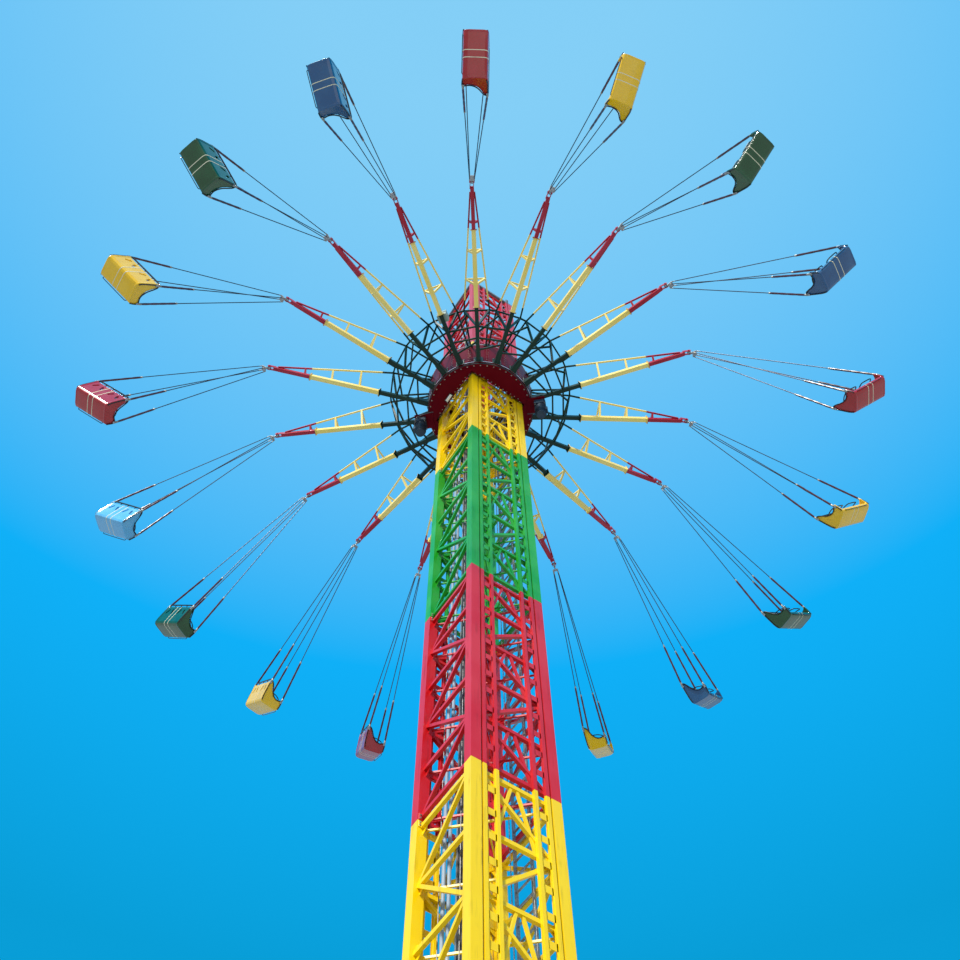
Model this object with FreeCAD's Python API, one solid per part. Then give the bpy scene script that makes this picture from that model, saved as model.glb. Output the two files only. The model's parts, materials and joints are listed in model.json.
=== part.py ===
"""High swing tower ride: a bolted lattice tower with a hoisted carriage, a turning
eighteen-arm head and one hanging two-seat gondola on each arm.

Frame: millimetres, +Z up, origin at the middle of the base frame's underside, tower
faces square to X and Y.  The model stands with the carriage near the top and the
gondolas flung outward, as when the ride runs.
"""
import FreeCAD, Part
import math
import os

Vector = FreeCAD.Vector
Z_AXIS = Vector(0, 0, 1)

# ---------------------------------------------------------------- tower
tower_width = 1572.0          # across the flats of the square tower
chord_size = 175.0            # square corner tube
chord_wall = 12.0
base_beam_size = 250.0        # height of the base frame's beams
base_beam_width = 300.0
section_tops = (3000.0, 9000.0, 15000.0, 20500.0, 27000.0, 33000.0, 39000.0)
bays_per_section = 5
base_bays = 2
base_bracing_height = 1000.0  # bracing starts above the lower rope sheaves
end_bar_inset = 110.0         # first and last cross bar, from the section's end
cross_bar = (60.0, 75.0)      # depth, height
diagonal_bar = (60.0, 60.0)
knee_bar = (40.0, 45.0)
rail_size = 58.0              # upright tube beside the middle bay of the front and back
rail_offset = 335.0
strip_size = 65.0             # strip that closes the rope slot beside each corner tube
rope_slot = 30.0
rail_overlap = 6.0            # weld depth of the uprights into the cross bars

anchor_plate = (620.0, 36.0)  # side and thickness of each corner's anchor plate
anchor_spacing = 480.0
anchor_hole_r = 18.0

# ---------------------------------------------------------------- hoist
rope_r = 8.0
rope_inset = 30.0             # rope's outer run, behind the tower's face
sheave_pitch_r = 250.0
sheave_flange = 20.0          # rim beyond the rope's centre line
sheave_width = 24.0
groove_width = 18.0
sheave_clearance = 10.0       # under the rim
sheave_axle_r = 25.0
fit_gap = 0.3                 # running and seating gap of round pieces
head_beam = (100.0, 120.0)    # width, height
head_notch = 40.0             # width and depth of the rope's way through the beam
bracket_plate = 15.0
bracket_side_gap = 8.0
base_cheek_gap = 11.0         # lower cheek plates, from the corner tube

ladder_width = 400.0
ladder_stile = (60.0, 14.0)
rung_size = 25.0
rung_pitch = 300.0

# ---------------------------------------------------------------- carriage
carriage_height = 30410.0     # top of the soffit plate
corner_clearance = 103.0      # carriage tube round the tower's corners
face_clearance = 54.0         # plates' square hole round the tower's faces
tube_wall = 35.0
tube_height = 1490.0
plate_thickness = 40.0
soffit_rim_inset = 30.0       # soffit plate inside the drum's outer wall
top_plate_overhang = 80.0
rope_lug = (20.0, 160.0)      # width, height of the lug that reaches into the rope slot
rope_lug_gap = 5.0
bearing_width = 45.0
bearing_height = 120.0
bearing_level = 790.0         # bearing's underside above the soffit plate
upper_wheel = (100.0, 900.0)  # radius, height of its axle above the top plate
lower_wheel = (50.0, 95.0)    # radius, height of its axle above the soffit plate
wheel_width = 80.0
wheel_gap = 0.5               # from the corner tube
wheel_axle_r = 15.0
wheel_plate = 16.0
wheel_side_gap = 5.0
wheel_cheek_half = 40.0
wheel_post_half = 50.0
clamp_block = (66.0, 60.0)    # width along the face, depth
clamp_gap = 9.0               # from the tower's face

motor_angles = (137.0, -43.0)
motor_bracket = (340.0, 420.0, 40.0)   # reach past the drum, width, thickness
motor_bracket_lap = 130.0     # bracket's overlap under the soffit plate
gearbox = (290.0, 300.0, 220.0)
motor_r = 130.0
motor_length = 430.0
fan_cover = (115.0, 60.0)     # radius, length

# ---------------------------------------------------------------- rotor
drum_radial_gap = 95.0        # from the carriage tube to the drum's wall
drum_wall = 38.0
drum_lift = 60.0              # drum's lower rim above the soffit plate
drum_height = 1370.0
drum_lip = 35.0
drum_flange = 40.0
bearing_flange_gap = 15.0     # flange's inner edge from the carriage tube

arm_count = 18
first_arm_angle = -126.02
arm_root_lift = 90.0          # chord's centre line above the drum's rim
tip_radius = 5740.0
tip_height = 31690.0
arm_end_inset = 140.0         # chord's end from the swing pin
root_chord = 100.0
middle_chord = 112.0
tip_chord = 96.0
root_end_radius = 2700.0
middle_end_radius = 4590.0
upper_rod = 40.0
frame_radius = 2410.0         # top of the upright V frame
frame_foot_radius = 2240.0
upper_rise = 760.0
upper_spread = 335.0
rod_join_radius = 5500.0
rod_join_spread = 55.0
rod_join_rise = 30.0
rod_root_spread = 200.0
rod_root_drop = 60.0          # below the drum's top edge
post_radii = (3260.0, 4020.0, 4760.0)
post_bar = 50.0
hoop_radii = (1950.0, 2240.0)
hoop_bar = 42.0
brace_radii = (1650.0, 2080.0)

cabinet_arm = 18
cabinet_size = (220.0, 260.0, 340.0)
cabinet_radius = 2575.0

# ---------------------------------------------------------------- suspension
swing_angle = 38.09           # outward from plumb, in this stance
trail_angle = 3.66            # swing plane turned back by the air's drag
pin_r = 20.0
pin_length = 140.0
clevis_plate = 16.0
clevis_half_gap = 37.0
clevis_half_height = 48.0
clevis_nose = 50.0
clevis_back = 120.0
eye_r = 45.0
eye_length = 60.0
neck_size = 50.0
neck_length = 190.0
spreader = (150.0, 30.0)
cable_r = 9.0
rod_r = 18.0
rod_length = 1200.0
cable_spread = 60.0

# ---------------------------------------------------------------- gondola
gondola_drop = 5680.0         # from the swing pin down to the gondola's underside
gondola_width = 1210.0
side_panel = 40.0
lug_size = 40.0
seat_front = 270.0
seat_rear = 270.0
back_height = 640.0
side_height = 650.0
arm_rest_height = 330.0
seat_height = 130.0
seat_dip = 30.0
back_foot = 140.0
back_lean = 100.0
back_thickness = 50.0
divider = (60.0, 230.0)       # width, height

# ---------------------------------------------------------------- worked out
half = tower_width / 2
chord_inner = half - chord_size
chord_centre = half - chord_size / 2
half_diagonal = half * math.sqrt(2)
tower_top = section_tops[-1]
strip_offset = chord_inner - rope_slot - strip_size / 2
rope_x = chord_inner - rope_slot / 2
rope_outer = half - rope_inset
sheave_centre = rope_outer - sheave_pitch_r
sheave_rim_r = sheave_pitch_r + sheave_flange
base_sheave_z = base_beam_size + sheave_rim_r + sheave_clearance
head_sheave_z = tower_top + head_beam[1] + sheave_rim_r + sheave_clearance

tube_inner_r = half_diagonal + corner_clearance
tube_outer_r = tube_inner_r + tube_wall
drum_inner_r = tube_outer_r + drum_radial_gap
drum_outer_r = drum_inner_r + drum_wall
drum_bottom = carriage_height + drum_lift
drum_top = drum_bottom + drum_height
tube_top = carriage_height + tube_height
bearing_bottom = carriage_height + bearing_level
bearing_top = bearing_bottom + bearing_height
arm_root_height = drum_bottom + arm_root_lift
arm_slope = (tip_height - arm_root_height) / (tip_radius - drum_outer_r)
arm_pitch = 360.0 / arm_count


# ---------------------------------------------------------------- shapes
def block(x0, x1, y0, y1, z0, z1):
    return Part.makeBox(x1 - x0, y1 - y0, z1 - z0, Vector(x0, y0, z0))


def cylinder(radius, height, base, direction=Z_AXIS):
    return Part.makeCylinder(radius, height, base, direction)


def bar(start, end, depth, height, side=Z_AXIS):
    """A square-edged bar from start to end; depth is measured along side."""
    along = (end - start).normalize()
    across = along.cross(side).normalize()
    up = across.cross(along)
    corner = start - across * (height / 2) - up * (depth / 2)
    face = Part.Face(Part.makePolygon([
        corner,
        corner + across * height,
        corner + across * height + up * depth,
        corner + up * depth,
        corner,
    ]))
    return face.extrude(end - start)


def round_bar(start, end, radius):
    return cylinder(radius, (end - start).Length, start, end - start)


def prism(outline, x0, x1):
    """Extrude an outline of (y, z) points along X."""
    points = [Vector(x0, y, z) for y, z in outline + outline[:1]]
    return Part.Face(Part.makePolygon(points)).extrude(Vector(x1 - x0, 0, 0))


def fuse(shapes):
    return shapes[0].multiFuse(shapes[1:]).removeSplitter()


def largest(shape):
    return max(shape.Solids, key=lambda solid: solid.Volume)


def turned(shape, angle):
    """A copy turned about the tower's axis."""
    copy = shape.copy()
    copy.rotate(Vector(0, 0, 0), Z_AXIS, angle)
    return copy


def moved(shape, x, y, z):
    copy = shape.copy()
    copy.translate(Vector(x, y, z))
    return copy


def quarter_turns(shape):
    return [turned(shape, 90 * i) for i in range(4)]


def arm_angle(number):
    return first_arm_angle + arm_pitch * (number - 1)


def save(name, shapes):
    solids = [solid for shape in shapes for solid in shape.Solids]
    Part.makeCompound(solids).exportStep("parts/%s.step" % name)


# ---------------------------------------------------------------- tower
def frame_bar(x0, z0, x1, z1, section):
    """A bar in the plane of the front face's bracing."""
    depth, height = section
    return bar(Vector(x0, -chord_centre, z0), Vector(x1, -chord_centre, z1), depth, height, Vector(0, 1, 0))


def face_bracing(levels, lean):
    """Cross bars and zigzag diagonals of one face, drawn on the front."""
    reach = chord_inner + 5
    pieces = [frame_bar(-reach, level, reach, level, cross_bar) for level in levels]
    for low, high in zip(levels, levels[1:]):
        pieces.append(frame_bar(-lean * chord_inner, low, lean * chord_inner, high, diagonal_bar))
        lean = -lean
    return pieces


def face_uprights(bottom, top, levels):
    """Upright tubes, slot strips and knee braces of the front and back faces."""
    weld = chord_centre + cross_bar[0] / 2 - rail_overlap
    pieces = []
    for size, offset in ((rail_size, rail_offset), (strip_size, strip_offset)):
        for x in (-offset, offset):
            pieces.append(block(x - size / 2, x + size / 2, -half, -weld, bottom, top))
    for low, high in list(zip(levels, levels[1:]))[::2]:
        for side in (-1, 1):
            pieces.append(frame_bar(side * rail_offset, low, side * knee_bar[1], high, knee_bar))
    return pieces


def braced_length(bottom, top, levels):
    """Four corner tubes and the bracing between them, from bottom to top."""
    pieces = []
    for x in (-half, chord_inner):
        for y in (-half, chord_inner):
            pieces.append(block(x, x + chord_size, y, y + chord_size, bottom, top))
    uprights_bottom = min(levels[0] - end_bar_inset, base_bracing_height + bottom)
    front = face_bracing(levels, -1) + face_uprights(uprights_bottom, top, levels)
    side = face_bracing(levels, 1)
    for angle in (0, 180):
        pieces += [turned(piece, angle) for piece in front]
        pieces += [turned(piece, angle - 90) for piece in side]
    frame = fuse(pieces)
    bore = chord_size - 2 * chord_wall
    for x in (-chord_centre, chord_centre):
        for y in (-chord_centre, chord_centre):
            frame = frame.cut(block(x - bore / 2, x + bore / 2, y - bore / 2, y + bore / 2,
                                    bottom - 1, top + 1))
    return largest(frame)


def section_levels(bottom, top, bays):
    low, high = bottom + end_bar_inset, top - end_bar_inset
    return [low + (high - low) * i / bays for i in range(bays + 1)]


def make_tower():
    base_top = section_tops[0]
    levels = section_levels(base_bracing_height, base_top, base_bays)
    save("tower_base_section", [braced_length(base_beam_size, base_top, levels)])
    for index, (low, high) in enumerate(zip(section_tops, section_tops[1:])):
        levels = section_levels(low, high, bays_per_section)
        save("tower_section_%d" % (index + 1), [braced_length(low, high, levels)])


def sheave_stand(bottom, centre, low_y, high_y):
    """Two cheek plates and the axle of one rope sheave at the back right."""
    inner = sheave_width / 2 + bracket_side_gap
    outer = inner + bracket_plate
    cheeks = [block(rope_x + x0, rope_x + x1, low_y, high_y, bottom, centre + 2 * sheave_axle_r)
              for x0, x1 in ((-outer, -inner), (inner, outer))]
    axle = cylinder(sheave_axle_r, 2 * outer + 10, Vector(rope_x - outer - 5, sheave_centre, centre), Vector(1, 0, 0))
    return cheeks + [axle]


def four_corners(shapes):
    """Copies at the four rope slots, mirrored across the tower."""
    copies = []
    for shape in shapes:
        mirrored = shape.mirror(Vector(0, 0, 0), Vector(1, 0, 0))
        copies += [shape, mirrored, turned(shape, 180), turned(mirrored, 180)]
    return copies


def make_base_frame():
    inner = half - base_beam_width
    beams = []
    for low, high in ((-half, -inner), (inner, half), (-base_beam_width / 2, base_beam_width / 2)):
        beams.append(block(low, high, -half, half, 0, base_beam_size))
        beams.append(block(-half, half, low, high, 0, base_beam_size))
    side, thickness = anchor_plate
    stand = sheave_stand(base_beam_size, base_sheave_z, sheave_centre - 2 * sheave_axle_r,
                         chord_inner - base_cheek_gap)
    pieces = beams + four_corners(stand)
    for x in (-chord_centre, chord_centre):
        for y in (-chord_centre, chord_centre):
            pieces.append(block(x - side / 2, x + side / 2, y - side / 2, y + side / 2, 0, thickness))
    frame = fuse(pieces)
    offset = anchor_spacing / 2
    for x in (-chord_centre, chord_centre):
        for y in (-chord_centre, chord_centre):
            for dx in (-offset, offset):
                for dy in (-offset, offset):
                    hole = cylinder(anchor_hole_r, thickness + 2, Vector(x + dx, y + dy, -1))
                    frame = frame.cut(hole)
    save("base_frame", [frame])


def make_head_frame():
    width, height = head_beam
    top = tower_top + height
    pieces = []
    for low, high in ((-half, -half + width), (half - width, half)):
        pieces.append(block(low, high, -half, half, tower_top, top))
        pieces.append(block(-half, half, low, high, tower_top, top))
    inner_beam = sheave_centre - width / 2
    for side in (-1, 1):
        low, high = sorted((side * inner_beam, side * (inner_beam + width)))
        pieces.append(block(-half, half, low, high, tower_top, top))
    stand = sheave_stand(top, head_sheave_z, inner_beam, half)
    frame = fuse(pieces + four_corners(stand))
    notch = block(rope_x - head_notch / 2, rope_x + head_notch / 2, rope_outer - head_notch / 2, half + 1,
                  tower_top - 1, top + 1)
    save("head_frame", [frame.cut(fuse(four_corners([notch])))])


def make_hoist():
    half_width = sheave_width / 2
    wheel = cylinder(sheave_rim_r, sheave_width, Vector(-half_width, 0, 0), Vector(1, 0, 0))
    groove_r = sheave_pitch_r - rope_r - fit_gap
    cut_ring = cylinder(sheave_rim_r + 1, groove_width, Vector(-groove_width / 2, 0, 0), Vector(1, 0, 0)).cut(
        cylinder(groove_r, groove_width, Vector(-groove_width / 2, 0, 0), Vector(1, 0, 0)))
    bore = cylinder(sheave_axle_r + fit_gap, sheave_width + 2, Vector(-half_width - 1, 0, 0), Vector(1, 0, 0))
    wheel = wheel.cut(cut_ring).cut(bore)
    save("rope_sheaves", four_corners([moved(wheel, rope_x, sheave_centre, z)
                                       for z in (base_sheave_z, head_sheave_z)]))

    low, high = base_sheave_z, head_sheave_z
    near, far = sheave_centre - sheave_pitch_r, rope_outer
    path = Part.Wire([
        Part.LineSegment(Vector(rope_x, far, low), Vector(rope_x, far, high)).toShape(),
        Part.Arc(Vector(rope_x, far, high), Vector(rope_x, sheave_centre, high + sheave_pitch_r),
                 Vector(rope_x, near, high)).toShape(),
        Part.LineSegment(Vector(rope_x, near, high), Vector(rope_x, near, low)).toShape(),
        Part.Arc(Vector(rope_x, near, low), Vector(rope_x, sheave_centre, low - sheave_pitch_r),
                 Vector(rope_x, far, low)).toShape(),
    ])
    section = Part.Wire(Part.makeCircle(rope_r, Vector(rope_x, far, low), Z_AXIS))
    save("hoist_ropes", four_corners([path.makePipeShell([section], True, False)]))


def make_ladder():
    depth, thickness = ladder_stile
    outer = chord_centre - cross_bar[0] / 2
    inner = outer - depth
    rung_x = (inner + outer) / 2
    ladders = []
    for low, high in zip(section_tops, section_tops[1:]):
        bottom = low + end_bar_inset / 2
        top = high - end_bar_inset / 2
        pieces = [block(inner, outer, y - thickness / 2, y + thickness / 2, bottom, top)
                  for y in (-ladder_width / 2, ladder_width / 2)]
        z = bottom + rung_pitch / 2
        while z < top - rung_size:
            pieces.append(bar(Vector(rung_x, -ladder_width / 2, z), Vector(rung_x, ladder_width / 2, z),
                              rung_size, rung_size))
            z += rung_pitch
        ladders.append(fuse(pieces))
    save("tower_ladder", ladders)


# ---------------------------------------------------------------- carriage
def tower_hole(bottom, thickness):
    """The square opening round the tower, rounded off by the tube's bore."""
    reach = half + face_clearance
    square = block(-reach, reach, -reach, reach, bottom - 1, bottom + thickness + 1)
    return square.common(cylinder(tube_inner_r, thickness + 2, Vector(0, 0, bottom - 1)))


def rope_clamp(bottom):
    """Block on the top plate with a lug that reaches into the rope's slot."""
    lug_width, height = rope_lug
    width, depth = clamp_block
    edge = half + clamp_gap
    body = block(rope_x - width / 2, rope_x + width / 2, edge, edge + depth, bottom, bottom + height)
    lug = block(rope_x - lug_width / 2, rope_x + lug_width / 2, rope_outer + rope_r + rope_lug_gap, edge,
                bottom, bottom + height)
    return [body, lug]


def make_carriage():
    bottom = carriage_height - plate_thickness
    soffit = cylinder(drum_outer_r - soffit_rim_inset, plate_thickness, Vector(0, 0, bottom))
    soffit = soffit.cut(tower_hole(bottom, plate_thickness))
    tube = cylinder(tube_outer_r, tube_height, Vector(0, 0, carriage_height)).cut(
        cylinder(tube_inner_r, tube_height, Vector(0, 0, carriage_height)))
    top = cylinder(tube_outer_r + top_plate_overhang, plate_thickness, Vector(0, 0, tube_top))
    top = top.cut(tower_hole(tube_top, plate_thickness))
    reach, width, thickness = motor_bracket
    root = drum_outer_r - motor_bracket_lap
    arm = block(root, drum_outer_r + reach, -width / 2, width / 2, bottom - thickness, bottom)
    brackets = [turned(arm, angle) for angle in motor_angles]
    clamps = four_corners(rope_clamp(tube_top))
    save("carriage_frame", [fuse([soffit, tube, top] + brackets + clamps)])

    ring = cylinder(tube_outer_r + bearing_width, bearing_height, Vector(0, 0, bearing_bottom)).cut(
        cylinder(tube_outer_r + fit_gap, bearing_height, Vector(0, 0, bearing_bottom)))
    save("slewing_bearing", [ring])

    deep, wide, tall = gearbox
    centre = drum_outer_r + reach - deep / 2
    box_top = bottom - thickness
    box = block(centre - deep / 2, centre + deep / 2, -wide / 2, wide / 2, box_top - tall, box_top)
    body = cylinder(motor_r, motor_length, Vector(centre, 0, box_top - tall - motor_length))
    cover_r, cover_length = fan_cover
    cover = cylinder(cover_r, cover_length, Vector(centre, 0, box_top - tall - motor_length - cover_length))
    motor = fuse([box, body, cover])
    save("drive_motors", [turned(motor, angle) for angle in motor_angles])


def guide_wheel(seat, radius, height):
    """A wheel on the front left corner tube and the bracket that stands on its seat."""
    x, y, z = -chord_centre, -(half + wheel_gap + radius), seat + height
    inner = wheel_width / 2 + wheel_side_gap
    outer = inner + wheel_plate
    side = Vector(1, 0, 0)
    wheel = cylinder(radius, wheel_width, Vector(x - wheel_width / 2, y, z), side)
    wheel = wheel.cut(cylinder(wheel_axle_r + fit_gap, wheel_width, Vector(x - wheel_width / 2, y, z), side))
    post_top = z - radius - wheel_side_gap
    cheek_bottom = max(seat, post_top - 2 * wheel_post_half)
    pieces = [block(x + x0, x + x1, y - wheel_cheek_half, y + wheel_cheek_half, cheek_bottom, z + 2 * wheel_axle_r)
              for x0, x1 in ((-outer, -inner), (inner, outer))]
    pieces.append(cylinder(wheel_axle_r, 2 * outer, Vector(x - outer, y, z), side))
    if cheek_bottom > seat:
        pieces.append(block(x - inner, x + inner, y - wheel_post_half, y + wheel_post_half, seat, post_top))
    return wheel, fuse(pieces)


def make_guides():
    """Guide wheels on all four corner tubes, above the turning head and inside the carriage."""
    wheels, brackets = [], []
    for seat, (radius, height) in ((tube_top + plate_thickness, upper_wheel), (carriage_height, lower_wheel)):
        wheel, bracket = guide_wheel(seat, radius, height)
        for mirrored in (False, True):
            for piece, group in ((wheel, wheels), (bracket, brackets)):
                group += quarter_turns(piece.mirror(Vector(0, 0, 0), Vector(1, 0, 0)) if mirrored else piece)
    save("guide_wheels", wheels)
    save("wheel_brackets", brackets)


# ---------------------------------------------------------------- rotor
def make_drum():
    flange_inner = tube_outer_r + bearing_flange_gap
    seat = bearing_top + fit_gap
    outline = [
        (drum_outer_r, drum_bottom),
        (drum_outer_r, drum_top),
        (drum_inner_r - drum_lip, drum_top),
        (drum_inner_r - drum_lip, drum_top - drum_flange),
        (drum_inner_r, drum_top - drum_flange),
        (drum_inner_r, seat + drum_flange),
        (flange_inner, seat + drum_flange),
        (flange_inner, seat),
        (drum_inner_r, seat),
        (drum_inner_r, drum_bottom + drum_flange),
        (drum_inner_r - drum_lip, drum_bottom + drum_flange),
        (drum_inner_r - drum_lip, drum_bottom),
    ]
    points = [Vector(r, 0, z) for r, z in outline + outline[:1]]
    face = Part.Face(Part.makePolygon(points))
    save("rotor_drum", [face.revolve(Vector(0, 0, 0), Z_AXIS, 360)])


def chord_height(radius):
    return arm_root_height + arm_slope * (radius - drum_outer_r)


def chord_point(radius, across=0.0, rise=0.0):
    return Vector(radius, across, chord_height(radius) + rise)


def rod_point(radius, side):
    """A point on an arm's upper rod, outside the V frame."""
    share = (rod_join_radius - radius) / (rod_join_radius - frame_radius)
    spread = rod_join_spread + (upper_spread - rod_join_spread) * share
    return chord_point(radius, side * spread, rod_join_rise + (upper_rise - rod_join_rise) * share)


def frame_point(side, share):
    """A point up one leg of an arm's V frame."""
    foot, top = chord_point(frame_foot_radius), rod_point(frame_radius, side)
    return foot + (top - foot) * share


def make_arm():
    """Root, middle and tip of one arm that lies along X."""
    end = tip_radius - arm_end_inset
    ends = (drum_outer_r - 60, root_end_radius, middle_end_radius, end)
    sizes = (root_chord, middle_chord, tip_chord)
    pieces = [bar(chord_point(low), chord_point(high), size, size)
              for low, high, size in zip(ends, ends[1:], sizes)]
    for side in (-1, 1):
        root = Vector(drum_outer_r - 40, side * rod_root_spread, drum_top - rod_root_drop)
        node = rod_point(frame_radius, side)
        pieces.append(bar(root, node, upper_rod, upper_rod))
        pieces.append(bar(node, rod_point(rod_join_radius, side), upper_rod, upper_rod))
        pieces.append(bar(frame_point(side, 0), frame_point(side, 1.02), post_bar, post_bar, Vector(1, 0, 0)))
        for radius in post_radii:
            pieces.append(bar(chord_point(radius), rod_point(radius, side), post_bar, post_bar, Vector(1, 0, 0)))
    for radius in (frame_radius,) + post_radii:
        left, right = rod_point(radius, -1), rod_point(radius, 1)
        pieces.append(bar(left, right, upper_rod, upper_rod))
    arm = fuse(pieces)
    keep_clear = cylinder(drum_outer_r + fit_gap, drum_height * 3, Vector(0, 0, drum_bottom - drum_height))
    arm = arm.cut(keep_clear)
    parts = []
    for low, high in ((0, root_end_radius), (root_end_radius, middle_end_radius),
                      (middle_end_radius, tip_radius)):
        slab = block(low, high, -tip_radius, tip_radius, 0, tip_height * 2)
        parts.append(largest(arm.common(slab)))
    return parts


def make_arms():
    root, middle, tip = make_arm()
    for name, piece in (("arm_roots", root), ("arm_middles", middle), ("arm_tips", tip)):
        save(name, [turned(piece, arm_angle(k)) for k in range(1, arm_count + 1)])
    return root, tip


def make_hoops(root):
    """Bars that tie each arm to the next one; ends butt on the arms."""
    next_root = turned(root, arm_pitch)

    def across(point):
        return turned(Part.Vertex(point), arm_pitch).Point

    lines = [(chord_point(radius), across(chord_point(radius))) for radius in hoop_radii]
    lines.append((rod_point(frame_radius, 1), across(rod_point(frame_radius, -1))))
    lines.append((chord_point(brace_radii[0]), across(chord_point(hoop_radii[0] - 2 * hoop_bar))))
    lines.append((chord_point(brace_radii[1]), across(frame_point(-1, 0.75))))
    bars = []
    for start, end in lines:
        piece = bar(start, end, hoop_bar, hoop_bar).cut(root).cut(next_root)
        bars.append(largest(piece))
    save("arm_hoops", [turned(piece, arm_angle(k)) for k in range(1, arm_count + 1) for piece in bars])


def make_cabinet(root):
    deep, wide, tall = cabinet_size
    base = chord_point(cabinet_radius) - Vector(0, 0, root_chord / 2)
    box = block(base.x - deep / 2, base.x + deep / 2, -wide / 2, wide / 2,
                base.z, base.z + root_chord + tall)
    box = largest(box.cut(block(base.x - deep, base.x + deep, -wide, wide, base.z - 500,
                                chord_height(base.x + deep / 2) + root_chord / 2 + 3)))
    feet = block(base.x - deep / 4, base.x + deep / 4, -30, 30, base.z + root_chord / 2,
                 chord_height(base.x + deep / 2) + root_chord / 2 + 3)
    box = largest(fuse([box, feet]).cut(root))
    save("control_cabinet", [turned(box, arm_angle(cabinet_arm))])


# ---------------------------------------------------------------- swinging gondolas
def hung(shape, arm, angle):
    """Place a piece drawn plumb below the pin, with X outward, on an arm's tip."""
    copy = shape.copy()
    copy.rotate(Vector(0, 0, 0), Vector(0, -1, 0), angle)
    copy.rotate(Vector(0, 0, 0), Z_AXIS, trail_angle)
    copy.translate(Vector(tip_radius, 0, tip_height))
    return turned(copy, arm_angle(arm))


def make_clevises(tip):
    """Fork and pin at each arm's end, in line with the swing."""
    outer = clevis_half_gap + clevis_plate
    pieces = [block(-clevis_back, clevis_nose, low, high, -clevis_half_height, clevis_half_height)
              for low, high in ((-outer, -clevis_half_gap), (clevis_half_gap, outer))]
    pieces.append(block(-arm_end_inset - 30, -clevis_back + 10, -outer, outer,
                        -clevis_half_height, clevis_half_height))
    pieces.append(cylinder(pin_r, pin_length, Vector(0, -pin_length / 2, 0), Vector(0, 1, 0)))
    fork = fuse(pieces)
    fork = turned(hung(fork, 1, 0), -arm_angle(1))
    fork = largest(fork.cut(tip))
    save("tip_clevises", [turned(fork, arm_angle(k)) for k in range(1, arm_count + 1)])


def make_shell():
    """Two-seat moulded shell, drawn plumb below the pin; riders face -Y."""
    bottom = -gondola_drop
    body_half = gondola_width / 2 - lug_size
    seat = [
        (seat_rear, bottom),
        (-seat_front, bottom),
        (-seat_front, bottom + seat_height),
        (back_foot, bottom + seat_height - seat_dip),
        (back_foot + back_lean, bottom + back_height),
        (back_foot + back_lean + back_thickness, bottom + back_height),
    ]
    side = [
        (seat_rear, bottom),
        (-seat_front, bottom),
        (-seat_front - 20, bottom + 50),
        (-seat_front - 20, bottom + arm_rest_height),
        (-seat_front / 2, bottom + arm_rest_height),
        (back_foot / 2, bottom + arm_rest_height + 60),
        (back_foot + back_lean - 10, bottom + side_height),
        (back_foot + back_lean + back_thickness + 10, bottom + side_height),
    ]
    pieces = [prism(seat, -body_half, body_half)]
    for low, high in ((-body_half, -body_half + side_panel), (body_half - side_panel, body_half)):
        pieces.append(prism(side, low, high))
    width, height = divider
    ridge = [
        (back_foot + back_lean / 2, bottom + seat_height / 2),
        (-seat_front / 2, bottom + seat_height / 2),
        (-seat_front / 2, bottom + seat_height + 20),
        (back_foot + back_lean / 3, bottom + height),
        (back_foot + back_lean / 2, bottom + height),
    ]
    pieces.append(prism(ridge, -width / 2, width / 2))
    for x, y, z in lug_points():
        inner = x - math.copysign(lug_size * 1.5, x)
        low, high = sorted((inner, x))
        pieces.append(block(low, high, y - lug_size / 2, y + lug_size / 2, z - lug_size, z))
    return fuse(pieces)


def lug_points():
    """Outer top edge of the four lugs that take the suspension rods."""
    bottom = -gondola_drop
    rear = back_foot + back_lean + back_thickness / 2
    front = -seat_front + lug_size / 2
    points = []
    for x in (-gondola_width / 2, gondola_width / 2):
        points.append((x, rear, bottom + back_height - 30))
        points.append((x, front, bottom + arm_rest_height - 20))
    return points


def make_suspension(shell):
    """Eye, neck, spreader, four cables and the four sheathed rods on the lugs."""
    size, thickness = spreader
    pieces = [
        cylinder(eye_r, eye_length, Vector(0, -eye_length / 2, 0), Vector(0, 1, 0)),
        block(-neck_size / 2, neck_size / 2, -neck_size / 2, neck_size / 2, -neck_length, 0),
        block(-size / 2, size / 2, -size / 2, size / 2, -neck_length - thickness, -neck_length),
    ]
    for x, y, z in lug_points():
        top = Vector(math.copysign(cable_spread, x), math.copysign(cable_spread, y), -neck_length - thickness / 2)
        foot = Vector(x - math.copysign(lug_size / 2, x), y, z - 2)
        along = (foot - top).normalize()
        knee = foot - along * rod_length
        pieces.append(round_bar(top, knee + along * 20, cable_r))
        pieces.append(round_bar(knee, foot, rod_r))
    body = fuse(pieces)
    body = body.cut(cylinder(pin_r + fit_gap, eye_length + 2, Vector(0, -eye_length / 2 - 1, 0), Vector(0, 1, 0)))
    return largest(body.cut(shell))


def make_gondolas():
    shell = make_shell()
    suspension = make_suspension(shell)
    for number in range(1, arm_count + 1):
        save("gondola_%02d" % number, [hung(shell, number, swing_angle)])
        save("suspension_%02d" % number, [hung(suspension, number, swing_angle)])


def main():
    os.makedirs("parts", exist_ok=True)
    make_base_frame()
    make_tower()
    make_head_frame()
    make_hoist()
    make_ladder()
    make_carriage()
    make_guides()
    make_drum()
    root, tip = make_arms()
    make_hoops(root)
    make_cabinet(root)
    make_clevises(tip)
    make_gondolas()


main()
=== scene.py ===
"""Looks of a high swing tower ride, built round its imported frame."""
import json
import math

import bmesh
import bpy
from mathutils import Matrix, Vector


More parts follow.
